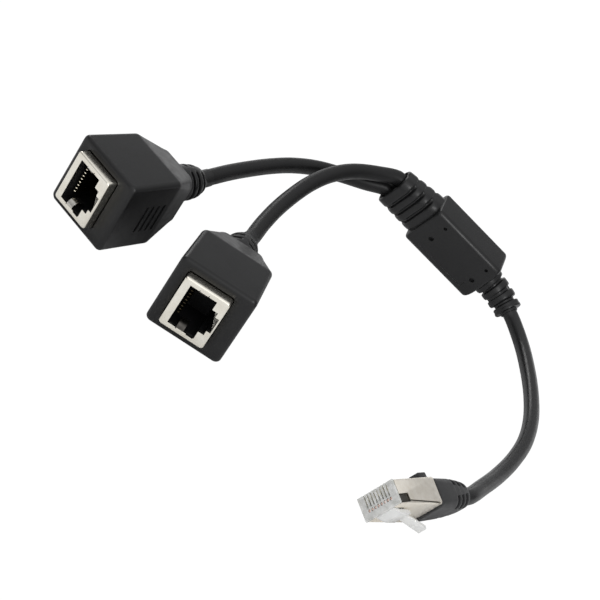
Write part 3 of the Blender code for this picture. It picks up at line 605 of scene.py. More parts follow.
# Floor, world and lights
def build_stage():
    size = 1.6
    shape = bmesh.new()
    corners = [(-size, -size, 0.0), (size, -size, 0.0), (size, size, 0.0), (-size, size, 0.0)]
    shape.faces.new([shape.verts.new(p) for p in corners])
    floor = mesh_object("floor", shape, None)
    floor.location = (0.0, 0.0, -0.00005)
    paint = Finish("pale_floor", (0.80, 0.80, 0.80), 0.85).set(Specular_IOR_Level=0.0)
    # Painted shade: the floor's colour falls from 0.80 to 0.24 round FLOOR_SHADE, between sockets A and B
    # where the housings' shadow falls, seen mainly in reflections and bounced light
    spot = paint.nodes.new("ShaderNodeVectorMath")
    spot.operation = "DISTANCE"
    spot.inputs[1].default_value = FLOOR_SHADE
    paint.links.new(paint.place, spot.inputs[0])
    paint.tint(spot.outputs["Value"], (0.24, 0.24, 0.24), (0.80, 0.80, 0.80), 0.012, 0.034)
    glow = paint.nodes.new("ShaderNodeEmission")
    glow.inputs["Color"].default_value = (1.0, 1.0, 1.0, 1.0)
    glow.inputs["Strength"].default_value = 1.06
    path = paint.nodes.new("ShaderNodeLightPath")
    share = paint.nodes.new("ShaderNodeMath")
    share.operation = "MULTIPLY"
    share.inputs[1].default_value = 0.94
    mix = paint.nodes.new("ShaderNodeMixShader")
    paint.links.new(path.outputs["Is Camera Ray"], share.inputs[0])
    paint.links.new(share.outputs[0], mix.inputs[0])
    paint.links.new(paint.shader.outputs[0], mix.inputs[1])
    paint.links.new(glow.outputs[0], mix.inputs[2])
    paint.links.new(mix.outputs[0], paint.nodes["Material Output"].inputs["Surface"])
    floor.data.materials.append(paint.mat)

    world = bpy.data.worlds.new("studio")
    bpy.context.scene.world = world
    world.use_nodes = True
    nodes = world.node_tree.nodes
    links = world.node_tree.links
    back = nodes["Background"]
    back.inputs["Color"].default_value = (0.985, 0.99, 1.0, 1.0)
    way = nodes.new("ShaderNodeTexCoord")
    total = None
    for direction, strength in ROOM_GLOWS:
        towards = nodes.new("ShaderNodeVectorMath")
        towards.operation = "DOT_PRODUCT"
        towards.inputs[1].default_value = Vector(direction).normalized()
        links.new(way.outputs["Generated"], towards.inputs[0])
        glow = nodes.new("ShaderNodeMapRange")
        glow.interpolation_type = "SMOOTHSTEP"
        for key, value in (("From Min", 0.35), ("From Max", 1.0), ("To Min", 0.0), ("To Max", strength)):
            glow.inputs[key].default_value = value
        links.new(towards.outputs["Value"], glow.inputs["Value"])
        both = nodes.new("ShaderNodeMath")
        both.inputs[1].default_value = ROOM_EVEN
        links.new(glow.outputs["Result"], both.inputs[0])
        if total:
            links.new(total, both.inputs[1])
        total = both.outputs[0]
    links.new(total, back.inputs["Strength"])
    seen = nodes.new("ShaderNodeBackground")
    seen.inputs["Color"].default_value = (1.0, 1.0, 1.0, 1.0)
    seen.inputs["Strength"].default_value = 1.0
    path = nodes.new("ShaderNodeLightPath")
    mix = nodes.new("ShaderNodeMixShader")
    links.new(path.outputs["Is Camera Ray"], mix.inputs[0])
    links.new(back.outputs[0], mix.inputs[1])
    links.new(seen.outputs[0], mix.inputs[2])
    links.new(mix.outputs[0], nodes["World Output"].inputs["Surface"])


def add_light(name, place, aim, size, power):
    data = bpy.data.lights.new(name, "AREA")
    data.shape = "RECTANGLE"
    data.size, data.size_y = size
    data.energy = power
    lamp = bpy.data.objects.new(name, data)
    lamp.location = place
    lamp.rotation_euler = (Vector(aim) - Vector(place)).to_track_quat("-Z", "Y").to_euler()
    bpy.context.scene.collection.objects.link(lamp)


def build_lights():
    add_light("softbox_right", (0.62, -0.80, 0.72), (0.03, 0.05, 0.0), (0.36, 0.36), 3.75)
    add_light("softbox_left", (-0.70, 0.60, 0.50), (0.0, 0.0, 0.0), (0.5, 0.4), 2.7)
    add_light("wall_back", (0.10, 1.30, 0.14), (0.0, 0.0, 0.04), (2.2, 0.24), 1.5)


def settle(made, place, *nodes):
    """Puts a piece built in its own axes into the frame and lets it stand for its solids."""
    made.data.transform(place)
    made.data.update()
    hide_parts(*nodes)
    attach(made, "root")

# Sockets
def relief_run(bend, part):
    """Direction of a socket's strain relief at a part of its length."""
    steep = 2.0 * part / RELIEF_LENGTH
    return Vector((bend[0] * steep, 1.0, bend[1] * steep)).normalized()


def socket_overmould(name, bend, lifts, mat):
    half_x = SOCKET_X / 2.0
    half_z = SOCKET_Z / 2.0
    neck_y = SOCKET_STRAIGHT + SOCKET_TAPER
    neck_lift, relief_lift, early = lifts
    straight = SOCKET_STRAIGHT - early
    taper = SOCKET_TAPER + early

    def radius_at(part):
        table = [
            (-0.2, 1.07), (0.28, 1.07), (0.45, 1.04), (0.58, 0.985), (0.68, 0.90),
            (0.75, 0.78), (0.80, 0.64), (0.84, 0.54), (0.88, 0.52), (1.0, 0.515),
        ]
        for (p0, r0), (p1, r1) in zip(table, table[1:]):
            if part <= p1:
                return RELIEF_RADIUS * (r0 + (r1 - r0) * (part - p0) / (p1 - p0))
        return RELIEF_RADIUS * table[-1][1]

    def relief(part, radius, depth=0.0, where=all_round):
        y = neck_y + part * RELIEF_LENGTH
        run = relief_run(bend, part)
        across = Vector((1.0, 0.0, 0.0))
        across = (across - run * across.dot(run)).normalized()
        upward = across.cross(run).normalized()
        rest = relief_lift * max(0.0, 1.0 - part) ** 1.5
        mid = Vector((bend[0] * part * part, y, bend[1] * part * part + rest))
        ring = drawn(outline(radius, radius, radius), depth, where)
        return [tuple(mid + across * a + upward * b) for a, b in ring]

    # The sleeve's lip reaches over the first of the cable
    lip = 1.0 + 2.0 * GAP / RELIEF_LENGTH
    bore = BRANCH_DIAMETER / 2.0 + 0.00004
    rings = [relief(0.985, bore), relief(lip - 0.002, bore + 0.00001)]
    rings += [relief(lip, RELIEF_NOSE - 0.00008), relief(lip - 0.004, RELIEF_NOSE - 0.00002)]
    for part in (0.985, 0.93, 0.89, 0.86, 0.84, 0.82, 0.80, 0.785, 0.77, 0.75):
        rings.append(relief(part, radius_at(part)))
    half = SLOT_WIDTH / 2.0
    for middle in (0.68, 0.52, 0.37):
        for along, depth in reversed(groove(half, SLOT_DEPTH)):
            part = middle + along / RELIEF_LENGTH
            rings.append(relief(part, radius_at(part), depth, side_slots))
        rings.append(relief(middle - 0.078, radius_at(middle - 0.078)))
    base = radius_at(0.0)
    rings += [relief(part, base + more) for part, more in (
        (0.22, 0.0), (0.10, 0.00002), (0.045, 0.00015), (0.015, 0.0004), (0.0, 0.0008),
    )]

    def level(y, inset, size_x, size_z, lift, radius):
        return [(a, y, b) for a, b in outline(size_x - inset, size_z - inset, radius, 0.0, lift)]

    neck_x = NECK_X / 2.0
    neck_z = NECK_Z / 2.0
    rear_x = half_x - SOCKET_DRAFT_X / 2.0
    rear_z = half_z - SOCKET_DRAFT_Z / 2.0
    rings.append(level(neck_y, NECK_EDGE, neck_x, neck_z, neck_lift, 0.0026))
    for turn in (20.0, 45.0, 70.0, 90.0):
        inset = NECK_EDGE * (1.0 - math.sin(math.radians(turn)))
        y = neck_y - NECK_EDGE * (1.0 - math.cos(math.radians(turn)))
        rings.append(level(y, inset, neck_x, neck_z, neck_lift, 0.0030))
    for k in range(1, 6):
        share = k / 6.0
        y = neck_y - NECK_EDGE - (taper - 0.0011) * share
        rings.append(level(
            y, 0.0, neck_x + (rear_x - neck_x) * share, neck_z + (rear_z - neck_z) * share,
            neck_lift - (neck_lift + SOCKET_DRAFT_Z / 2.0) * share, 0.0032 + (0.0017 - 0.0032) * share,
        ))
    for along, inset in ((0.0004, 0.00008), (0.0001, 0.00003), (-0.0002, 0.0), (-0.0006, 0.0)):
        rings.append(level(straight + along, inset, rear_x, rear_z, -SOCKET_DRAFT_Z / 2.0, 0.0015))
    steps = 9
    for k in range(steps):
        turn = math.radians(90.0 * k / (steps - 1))
        y = SOCKET_EDGE * (1.0 - math.sin(turn))
        inset = SOCKET_EDGE * (1.0 - math.cos(turn))
        rings.append(level(y, inset, half_x, half_z, 0.0, 0.0015))
    side = GAP * 0.7
    for y, grow in ((0.0, 0.00018), (0.00010, 0.00004), (0.00030, 0.0), (SHIELD_DEPTH + GAP, 0.0)):
        ring = outline(
            SHIELD_X / 2.0 + side + grow, SHIELD_Z / 2.0 + side + grow, 0.0010, SHIELD_SHIFT, SHIELD_RISE
        )
        rings.append([(a, y, b) for a, b in ring])
    made = loft(name, rings, mat)

    grips = []
    for hand in (-1, 1):
        for i in range(GRIP_COUNT):
            y = GRIP_FIRST + i * GRIP_PITCH
            face = half_x - SOCKET_DRAFT_X / 2.0 * y / SOCKET_STRAIGHT
            corners = []
            for turn in range(0, 360, 20):
                a = math.radians(turn + 10.0)
                end = GRIP_LENGTH / 2.0 - GRIP_WIDTH / 2.0
                z = GRIP_WIDTH / 2.0 * math.sin(a) + (end if math.sin(a) > 0 else -end) - GRIP_DROP
                corners.append((y + GRIP_WIDTH / 2.0 * math.cos(a), z))
            low, high = sorted((hand * (face - GRIP_DEPTH), hand * (face + 0.002)))
            grips.append(prism("grip", corners, low, high, "X"))
    return combine(made, gather("grips", grips), "DIFFERENCE")


def keyhole(name, front, back):
    """The stepped mouth of the jack as a prism between two levels."""
    x1 = MOUTH_LOW + MOUTH_X
    x2 = x1 + STEP_X
    half = [
        (MOUTH_LOW, MOUTH_Z / 2.0), (x1, MOUTH_Z / 2.0), (x1, STEP_Z / 2.0), (x2, STEP_Z / 2.0),
        (x2, KEY_Z / 2.0), (x2 + KEY_X, KEY_Z / 2.0),
    ]
    return prism(name, [(x, -z) for x, z in half] + half[::-1], front, back, "Y")


def jack_shield(name, mat, spring_mat):
    half_x = SHIELD_X / 2.0
    half_z = SHIELD_Z / 2.0

    def level(y, inset, radius):
        return [(a, y, b) for a, b in outline(half_x - inset, half_z - inset, radius, SHIELD_SHIFT, 0.0, 48)]

    front = -SHIELD_PROUD
    wall = SHIELD_WALL
    rings = [
        level(front + wall, wall, 0.0004), level(SHIELD_DEPTH, wall, 0.0004),
        level(SHIELD_DEPTH, 0.0, 0.0008),
        level(front + 0.0006, 0.0, 0.0008), level(front + 0.00035, 0.00003, 0.0008),
        level(front + 0.00016, 0.00012, 0.0008), level(front + 0.00004, 0.00028, 0.0007),
        level(front, 0.00048, 0.0006),
    ]
    made = loft(name, rings, mat)
    made = combine(made, keyhole("mouth", front - 0.001, front + wall + 0.0005), "DIFFERENCE")

    # Slits beside the springs
    edge = MOUTH_Z / 2.0
    cuts = []
    for x0, x1, z0, z1 in (
        (-0.00281, -0.00259, edge - 0.0004, edge + 0.00032),
        (-0.00021, 0.00001, edge - 0.0004, edge + 0.00032),
        (-0.0030, -0.0027, -edge - 0.00032, -edge + 0.0004),
        (0.0001, 0.00205, -edge - 0.00030, -edge + 0.0004),
    ):
        cuts.append(block("slit", (x0, front - 0.001, z0), (x1, front + 0.0012, z1)))
    made = combine(made, gather("cuts", cuts), "DIFFERENCE")
    made = rounded(made, 0.00006)

    middle = MOUTH_LOW + MOUTH_X / 2.0 - 0.0003
    springs = []
    for hand in (-1, 1):
        far = 0.0017 if hand < 0 else 0.0010
        path = [(hand * (edge + 0.0003), front + 0.00020)]
        path += [(hand * (edge - share * far), front + back) for share, back in (
            (0.12, 0.00022), (0.45, 0.00042), (0.72, 0.0008), (0.90, 0.0014), (1.0, 0.0022),
            (0.92, 0.0031), (0.5, 0.0044),
        )]
        spring = strip("spring", path, SPRING_WIDTH - 0.0003, SPRING * 0.8)
        spring.data.transform(Matrix.Translation((middle, 0.0, 0.0)))
        springs.append(spring)
    return made, rounded(gather(name + "_springs", springs, spring_mat), 0.00004)


def jack_insulator(name, mat):
    front = -SHIELD_PROUD + SHIELD_WALL + GAP
    inset = SHIELD_WALL + GAP
    low = (-SHIELD_X / 2.0 + inset + SHIELD_SHIFT, front, -SHIELD_Z / 2.0 + inset)
    high = (SHIELD_X / 2.0 - inset + SHIELD_SHIFT, SHIELD_DEPTH, SHIELD_Z / 2.0 - inset)
    made = block(name, low, high, mat, 0.0002)
    made = combine(made, keyhole("bay", front - 0.001, front + BAY_DEPTH), "DIFFERENCE")
    ribs = []
    for i in range(CONTACTS + 1):
        z = (i - CONTACTS / 2.0) * PITCH
        ribs.append(block(
            "rib", (MOUTH_LOW - 0.0002, 0.0004, z - 0.00016),
            (MOUTH_LOW + 0.0007, front + 0.0117, z + 0.00016),
        ))
    made = combine(made, gather("ribs", ribs), "UNION")
    return rounded(made, 0.00008, 1)


def jack_contacts(name, mat, far_shade_mat):
    """Sprung wires: the bend inside the mouth, then a slope to the back wall in a darkened copy of the gold,
    painted shade deeper in the mouth.
    """
    front = -SHIELD_PROUD + SHIELD_WALL + GAP
    floor = MOUTH_LOW + GAP + CONTACT / 2.0
    path = [(floor + lift, CONTACT_BEND + back) for lift, back in (
        (0.0, 0.0013), (0.0, 0.0003), (0.00006, 0.00008), (0.00018, 0.0), (0.00052, 0.0),
        (0.00066, 0.0001), (0.00070, 0.0004),
    )]
    path += [(floor + 0.0008, 0.0035), (floor + 0.0009, front + BAY_DEPTH - GAP)]
    made = []
    for index in range(CONTACTS):
        z = contact_at(index)
        rings = []
        for i, (x, y) in enumerate(path):
            before = Vector(path[max(i - 1, 0)])
            after = Vector(path[min(i + 1, len(path) - 1)])
            run = (after - before).normalized()
            side = Vector((-run.y, run.x))
            ring = []
            for k in range(10):
                a = math.radians(36.0 * k)
                ring.append((
                    x + side.x * math.cos(a) * CONTACT / 2.0, y + side.y * math.cos(a) * CONTACT / 2.0,
                    z + math.sin(a) * CONTACT / 2.0,
                ))
            rings.append(ring)
        made.append(loft("wire", rings, None))
    wires = gather(name, made, mat)
    wires.data.materials.append(far_shade_mat)
    for face in wires.data.polygons:
        # Faces behind the bend take the darkened gold: painted shade deeper in the mouth
        face.material_index = 1 if face.center.y > CONTACT_BEND + 0.00012 else 0
    return wires


def build_sockets(mats):
    exits = {}
    for label, tip, turn, bend, lifts in SOCKETS:
        reach = SOCKET_STRAIGHT + SOCKET_TAPER + RELIEF_LENGTH
        swing = Matrix.Rotation(math.radians(turn), 4, "Z")
        tip_local = Vector((bend[0], reach, bend[1]))
        moved = swing @ tip_local
        spot = Vector((tip.x - moved.x, tip.y - moved.y, SOCKET_Z / 2.0))
        place = Matrix.Translation(SHIFT + spot) @ swing
        inside = place @ Matrix.Translation((0.0, 0.0, SHIELD_RISE))
        head = "socket_%s_" % label
        settle(socket_overmould(head + "housing", bend, lifts, mats["housing"]), place, head + "overmould")
        # Socket B's springs take the darkened copy of the spring steel: painted shade in its mouth
        spring_mat = mats["spring" if label == "a" else "shade"]
        shield, springs = jack_shield(head + "jack_shell", mats["nickel"], spring_mat)
        settle(shield, inside, head + "shield")
        springs.data.transform(inside)
        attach(springs, "root")
        settle(jack_insulator(head + "jack_core", mats["inner"]), inside, head + "insulator")
        nodes = [head + "contact_%d" % (i + 1) for i in range(CONTACTS)]
        # Socket B's contact bends take the darkened gold too: painted shade in its mouth
        bend_mat = mats["gold" if label == "a" else "dull"]
        settle(jack_contacts(head + "jack_wires", bend_mat, mats["dull"]), inside, *nodes)
        run = relief_run(bend, 1.0)
        exits[label] = (place @ tip_local, (swing @ run.to_4d()).to_3d().normalized())
    return exits


# Splitter body
def tail_line(part):
    run = Vector((TAIL_LENGTH, -2.0 * TAIL_TURN * part, 0.0)).normalized()
    x = BODY_X / 2.0 + 0.0008 + part * TAIL_LENGTH
    return Vector((x, -TAIL_TURN * part * part, -0.0007)), run


def splitter_housing(name, mat):
    half_x = BODY_X / 2.0

    def level(x, half_y, half_z, radius, lift, depth=0.0, where=all_round):
        ring = drawn(outline(half_y, half_z, radius, 0.0, lift), depth, where)
        return [(x, a, b) for a, b in ring]

    start = -half_x - TWIN_LENGTH

    def twin(x, inset=0.0, depth=0.0):
        share = (x - start) / TWIN_LENGTH
        size = TWIN_TAPER + (1.0 - TWIN_TAPER) * share
        half_y = TWIN_Y / 2.0 * size - inset
        half_z = TWIN_Z / 2.0 * size - inset
        return level(x, half_y, half_z, half_y * 0.82, -TWIN_SAG * (1.0 - share), depth, broad_sides)

    hollow = BRANCH_DIAMETER / 2.0 + 0.0004
    long_hollow = TWIN_SPLIT / 2.0 + hollow
    rings = [level(start + TWIN_MOUTH, hollow, long_hollow, hollow, -TWIN_SAG)]
    for along, wider in ((0.0015, 0.0002), (0.0010, 0.00045), (0.0005, 0.0006), (0.0002, 0.00068)):
        rings.append(level(start + along, hollow + wider, long_hollow + wider, hollow + wider, -TWIN_SAG))
    for turn in (-20.0, 0.0, 22.0, 45.0, 68.0, 90.0):
        a = math.radians(turn)
        rings.append(twin(start + TWIN_LIP * (1.0 - math.cos(a)), TWIN_LIP * (1.0 - math.sin(a))))
    rib = (TWIN_LENGTH - 0.0016) / 4.0
    for i in range(3):
        middle = start + 0.0036 + i * rib * 1.06
        for along, depth in groove(0.00040, 0.0014, 0.0005):
            rings.append(twin(middle + along, 0.0, depth))
    rings += [twin(-half_x - 0.0020, 0.0), twin(-half_x - 0.0010, 0.00005), twin(-half_x - 0.0003, 0.00025)]

    full_y = BODY_Y / 2.0
    full_z = BODY_Z / 2.0
    low = -0.0002
    edge = 0.0009
    for turn in (0.0, 18.0, 36.0, 54.0, 72.0, 90.0):
        a = math.radians(turn)
        inset = edge * 0.6 * (1.0 - math.sin(a))
        x = -half_x + edge * (1.0 - math.cos(a))
        rings.append(level(x, full_y - inset, full_z - inset, BODY_CORNER, low))
    for k in range(1, 8):
        x = -half_x + edge + (BODY_X - 0.0015) * k / 8.0
        rings.append(level(x, full_y, full_z, BODY_CORNER, low))
    for turn in (0.0, 20.0, 40.0, 60.0, 80.0, 90.0):
        a = math.radians(turn)
        inset = 0.0012 * (1.0 - math.cos(a))
        x = half_x - 0.0006 + 0.0012 * math.sin(a)
        corner = BODY_CORNER + 0.0016 * inset / 0.0012
        rings.append(level(x, full_y - inset * 0.35, full_z - inset, corner, low))
    rings.append(level(half_x + 0.0006, full_y - 0.0011, full_z - 0.0020, 0.0034, low))

    def tail(part, radius, depth=0.0, where=all_round):
        ring = drawn(outline(radius, radius, radius), depth, where)
        middle, run = tail_line(part)
        return [(middle.x - a * run.y, middle.y + a * run.x, middle.z + b) for a, b in ring]

    base = TAIL_RADIUS
    rings.append(tail(-0.010, base + 0.0003))
    rings.append(tail(0.010, base))
    spans = (
        (0.25, 0.00044, 0.0010, all_round, base - 0.0001, base - 0.00035),
        (0.535, 0.00050, 0.0010, top_slots, base - 0.00035, base - 0.00045),
        (0.80, 0.00044, 0.0010, all_round, base - 0.00045, base - 0.0007),
    )
    for middle, half, depth, where, before, after in spans:
        offsets = groove(half, depth, 0.0004)
        reach = offsets[-1][0]
        for along, drop in offsets:
            share = (along + reach) / (2.0 * reach)
            radius = before + (after - before) * share
            rings.append(tail(middle + along / TAIL_LENGTH, radius, drop, where))
    rings += [tail(0.91, base - 0.00075), tail(0.95, base - 0.0006)]
    rings += [tail(0.985, base - 0.0006), tail(1.0, base - 0.0007), tail(TAIL_END, base - 0.001)]
    lip = TAIL_END + 2.0 * GAP / TAIL_LENGTH
    bore = TRUNK_DIAMETER / 2.0 + 0.00006
    rings += [tail(1.008, bore + 0.0004), tail(lip - 0.006, bore + 0.00034), tail(lip, bore + 0.00026)]
    rings += [tail(lip, bore), tail(0.99, bore)]
    made = loft(name, rings, mat)

    cuts = []
    for x, z, radius in (
        (-half_x + 0.0050, -0.0012, PIN_BIG), (half_x - 0.0029, -0.0012, PIN_BIG),
        (-half_x + 0.0050, 0.0046, PIN_SMALL), (half_x - 0.0029, 0.0046, PIN_SMALL),
    ):
        ring = circle(x, z, radius, 24, 0.0)
        cuts.append(prism("pin", ring, -full_y - 0.001, -full_y + 0.0008, "Y"))
    # Outline of a shallow panel along the low edge of the broad face
    line = 0.00009
    low_z = -full_z + 0.0021
    for x0, z0, x1, z1 in (
        (-0.0088, low_z - line, 0.0090, low_z + line),
        (0.0090 - line, low_z, 0.0090 + line, low_z + 0.0021),
    ):
        cuts.append(block("line", (x0, -full_y - 0.001, z0), (x1, -full_y + 0.00008, z1)))
    return combine(made, gather("cuts", cuts), "DIFFERENCE")


def build_splitter(mats):
    turn = spun(BODY_TURN)
    place = Matrix.Translation(SHIFT + BODY_CENTRE) @ turn
    settle(splitter_housing("splitter_housing", mats["splitter"]), place, "splitter_body")
    run = (turn @ Vector((1.0, 0.0, 0.0, 0.0))).to_3d()
    twin_x = -BODY_X / 2.0 - TWIN_LENGTH + TWIN_MOUTH - GAP
    ends = {
        "b": place @ Vector((twin_x, 0.0, TWIN_SPLIT / 2.0 - TWIN_SAG)),
        "a": place @ Vector((twin_x, 0.0, -TWIN_SPLIT / 2.0 - TWIN_SAG)),
    }
    tail_tip, tail_run = tail_line(TAIL_END)
    return ends, run, place @ tail_tip, (turn @ tail_run.to_4d()).to_3d().normalized()


# Plug
def plug_rise(y):
    return (CAN_REAR_Z - PLUG_Z) * y / CAN_Y


def plug_core(name, mat):
    half = PLUG_X / 2.0
    skin = CAN_WALL + 0.0002
    head = CAN_FRONT - 0.0002
    made = block(name, (-half, 0.0, 0.0), (half, head, PLUG_Z), mat, 0.00022, 3)
    end = CAN_Y - 0.0004
    side = [
        (head - 0.0003, skin), (end, skin), (end, PLUG_Z + plug_rise(end) - skin),
        (head - 0.0003, PLUG_Z - skin),
    ]
    made = combine(made, prism("rear", side, -half + skin, half - skin, "X"), "UNION")
    comb_half = (CONTACTS / 2.0) * PITCH + COMB_MARGIN
    comb = block("comb", (-comb_half, 0.0004, 0.0), (comb_half, COMB_Y + 0.0012, 0.002))
    made = combine(made, comb, "UNION")
    cuts = []
    for i in range(CONTACTS):
        x = contact_at(i)
        low, high = x - COMB_SLOT / 2.0, x + COMB_SLOT / 2.0
        cuts.append(block("slot", (low, -0.001, -0.001), (high, COMB_Y, COMB_Z)))
    made = combine(made, gather("slots", cuts), "DIFFERENCE")
    inner = [(0.0080, 0.0018), (CAN_Y + 0.001, 0.0018), (CAN_Y + 0.001, 0.0055), (0.0080, 0.0055)]
    made = combine(made, prism("bay", inner, -half + 0.0013, half - 0.0013, "X"), "DIFFERENCE")
    bores = []
    for i in range(CONTACTS):
        ring = circle(contact_at(i), COMB_Z + WIRE_LIFT, WIRE_RADIUS + 0.0001)
        bores.append(prism("bore", ring, -0.001, 0.0085, "Y"))
    return combine(made, gather("bores", bores), "DIFFERENCE")


def plug_latch(name, mat):
    """The wide step over the front edge and the finger that rises from it."""
    wide = [
        (0.0005, PLUG_Z - 0.0011), (0.0020, PLUG_Z - 0.0011), (0.0026, PLUG_Z + 0.0002),
        (0.0062, PLUG_Z + 0.00070), (0.0066, PLUG_Z + 0.0018), (0.0030, PLUG_Z + 0.0015),
        (0.0006, PLUG_Z + 0.0002),
    ]
    made = prism(name, wide, -LATCH_WIDE / 2.0, LATCH_WIDE / 2.0, "X", mat, 0.00012, 2)
    finger = [
        (0.0060, PLUG_Z + 0.0007), (LATCH_REACH, PLUG_Z + 0.0046), (LATCH_REACH - 0.0003, PLUG_Z + 0.0056),
        (0.0068, PLUG_Z + 0.00175),
    ]
    tongue = prism("finger", finger, -LATCH_FINGER / 2.0, LATCH_FINGER / 2.0, "X", mat, 0.00014, 2)
    return combine(made, tongue, "UNION")


def plug_can(name, mat, tab_shade_mat):
    half = PLUG_X / 2.0

    def level(y, inset):
        top = PLUG_Z + plug_rise(y)
        ring = outline(half - inset, top / 2.0 - inset, 0.0007 - inset * 0.9, 0.0, top / 2.0, 64)
        return [(a, y, b) for a, b in ring]

    rings = [level(y, inset) for y, inset in (
        (CAN_FRONT, CAN_WALL), (CAN_FRONT, 0.00014), (CAN_FRONT + 0.00004, 0.00005),
        (CAN_FRONT + 0.00014, 0.0), (CAN_Y - 0.00026, 0.0), (CAN_Y - 0.00012, 0.00004),
        (CAN_Y - 0.00004, 0.00011), (CAN_Y, 0.00022), (CAN_Y, CAN_WALL),
    )]
    made = loft(name, rings, mat, closed=True)
    comb_half = (CONTACTS / 2.0) * PITCH + COMB_MARGIN + 0.0002
    latch_half = LATCH_WIDE / 2.0 + GAP
    cuts = [
        block("window", (-comb_half, -0.001, -0.002), (comb_half, COMB_Y + 0.0012 + GAP, 0.0010)),
        block("latch_way", (-latch_half, -0.001, PLUG_Z - 0.0012), (latch_half, 0.0046, 0.010)),
    ]
    made = combine(made, gather("windows", cuts), "DIFFERENCE")
    notches = []
    for hand in (-1, 1):
        low, high = sorted((hand * (half - 0.0009), hand * (half + 0.001)))
        notches.append(block("notch", (low, -0.001, 0.0038), (high, 0.0042, 0.0060)))
        # Seam of the folded sheet from the notch to the rear corner
        low, high = sorted((hand * (half - 0.0006), hand * (half + 0.001)))
        seam = [(0.0040, 0.00548), (CAN_Y - 0.0007, 0.00674), (CAN_Y - 0.0007, 0.00704), (0.0040, 0.00578)]
        notches.append(prism("seam", seam, low, high, "X"))
    made = combine(made, gather("notches", notches), "DIFFERENCE")
    # Dark pieces in the darkened spring steel: a tab inside each notch, coloured dark as painted shade, and
    # a strip behind each seam, a dark sheet put there as painted shade
    tabs = []
    for hand in (-1, 1):
        low, high = sorted((hand * (half - 0.00062), hand * (half - 0.00042)))
        tabs.append(block("tab", (low, 0.0011, 0.0032), (high, 0.0052, 0.0060), None, 0.00005))
        seam_shade_strip = [(0.0050, 0.0050), (CAN_Y - 0.0004, 0.0060), (CAN_Y - 0.0004, 0.0072), (0.0050, 0.0062)]
        low, high = sorted((hand * (half - 0.00052), hand * (half - CAN_WALL - 0.00004)))
        tabs.append(prism("seam_shade_strip", seam_shade_strip, low, high, "X"))
    return rounded(made, 0.00005), gather(name + "_tabs", tabs, tab_shade_mat)


def plug_boot(name, mat):
    front = CAN_Y + GAP

    def level(y, half_x, half_z, radius, depth=0.0, where=all_round):
        ring = drawn(outline(half_x, half_z, radius, 0.0, BOOT_MID), depth, where)
        return [(a, y, b) for a, b in ring]

    # Part of the length, then the shares of width and height and the corner radius there
    table = [
        (0.0, 1.0, 1.0, 0.0016), (0.23, 0.965, 1.01, 0.0021), (0.49, 0.885, 1.03, 0.0026),
        (0.71, 0.79, 0.98, 0.0029), (0.89, 0.68, 0.87, 0.0029), (0.975, 0.52, 0.72, 0.0026),
        (1.0, 0.42, 0.62, 0.0023),
    ]

    def size(part):
        last = len(table) - 1
        for n, (low, high) in enumerate(zip(table, table[1:])):
            if part <= high[0] + 1e-9:
                before = table[max(n - 1, 0)]
                after = table[min(n + 2, last)]
                t = (part - low[0]) / (high[0] - low[0])
                wide = high[0] - low[0]
                out = []
                for k in (1, 2, 3):
                    m0 = (high[k] - before[k]) / (high[0] - before[0]) * wide
                    m1 = (after[k] - low[k]) / (after[0] - low[0]) * wide
                    out.append(
                        (2 * t ** 3 - 3 * t * t + 1) * low[k] + (t ** 3 - 2 * t * t + t) * m0
                        + (3 * t * t - 2 * t ** 3) * high[k] + (t ** 3 - t * t) * m1
                    )
                return out
        return list(table[-1][1:])

    def at(part, depth=0.0, where=all_round):
        wide, tall, radius = size(part)
        return level(front + part * BOOT_Y, BOOT_X / 2.0 * wide, BOOT_Z / 2.0 * tall, radius, depth, where)

    rings = [level(front, BOOT_X / 2.0 - 0.0003, BOOT_Z / 2.0 - 0.0003, 0.0014)]
    rings += [level(front + 0.00008, BOOT_X / 2.0 - 0.0001, BOOT_Z / 2.0 - 0.0001, 0.0015)]
    rings += [at(p) for p in (0.016, 0.06, 0.12, 0.18, 0.24, 0.30, 0.36, 0.41)]
    for middle in (0.51, 0.65, 0.79):
        for along, drop in groove(0.00050, 0.0022, 0.0002):
            rings.append(at(middle + along / BOOT_Y, drop, edge_slots))
    rings += [at(p) for p in (0.88, 0.92, 0.95, 0.975, 0.99, 1.0)]
    last_y = front + BOOT_Y
    bore = TRUNK_DIAMETER / 2.0 + 0.00006
    for y, radius in (
        (last_y + 2.0 * GAP - 0.00005, bore + 0.00008), (last_y + 2.0 * GAP, bore + 0.00004),
        (last_y + 2.0 * GAP, bore), (last_y - 0.0006, bore),
    ):
        rings.append([(a, y, b + BOOT_MID) for a, b in outline(radius, radius, 0.01)])
    made = loft(name, rings, mat)
    tongue = [(front + y, z) for y, z in (
        (0.0002, 0.0012), (0.0002, -0.0004), (-0.0014, -0.0004), (-0.0014, -0.0013), (0.0006, -0.0013),
        (0.0006, -0.0028), (0.0034, -0.0028), (0.0036, -0.0026), (0.0038, 0.0012),
    )]
    lug = prism("tongue", tongue, -TONGUE_X / 2.0, TONGUE_X / 2.0, "X", None, 0.0001, 2)
    return combine(made, lug, "UNION")


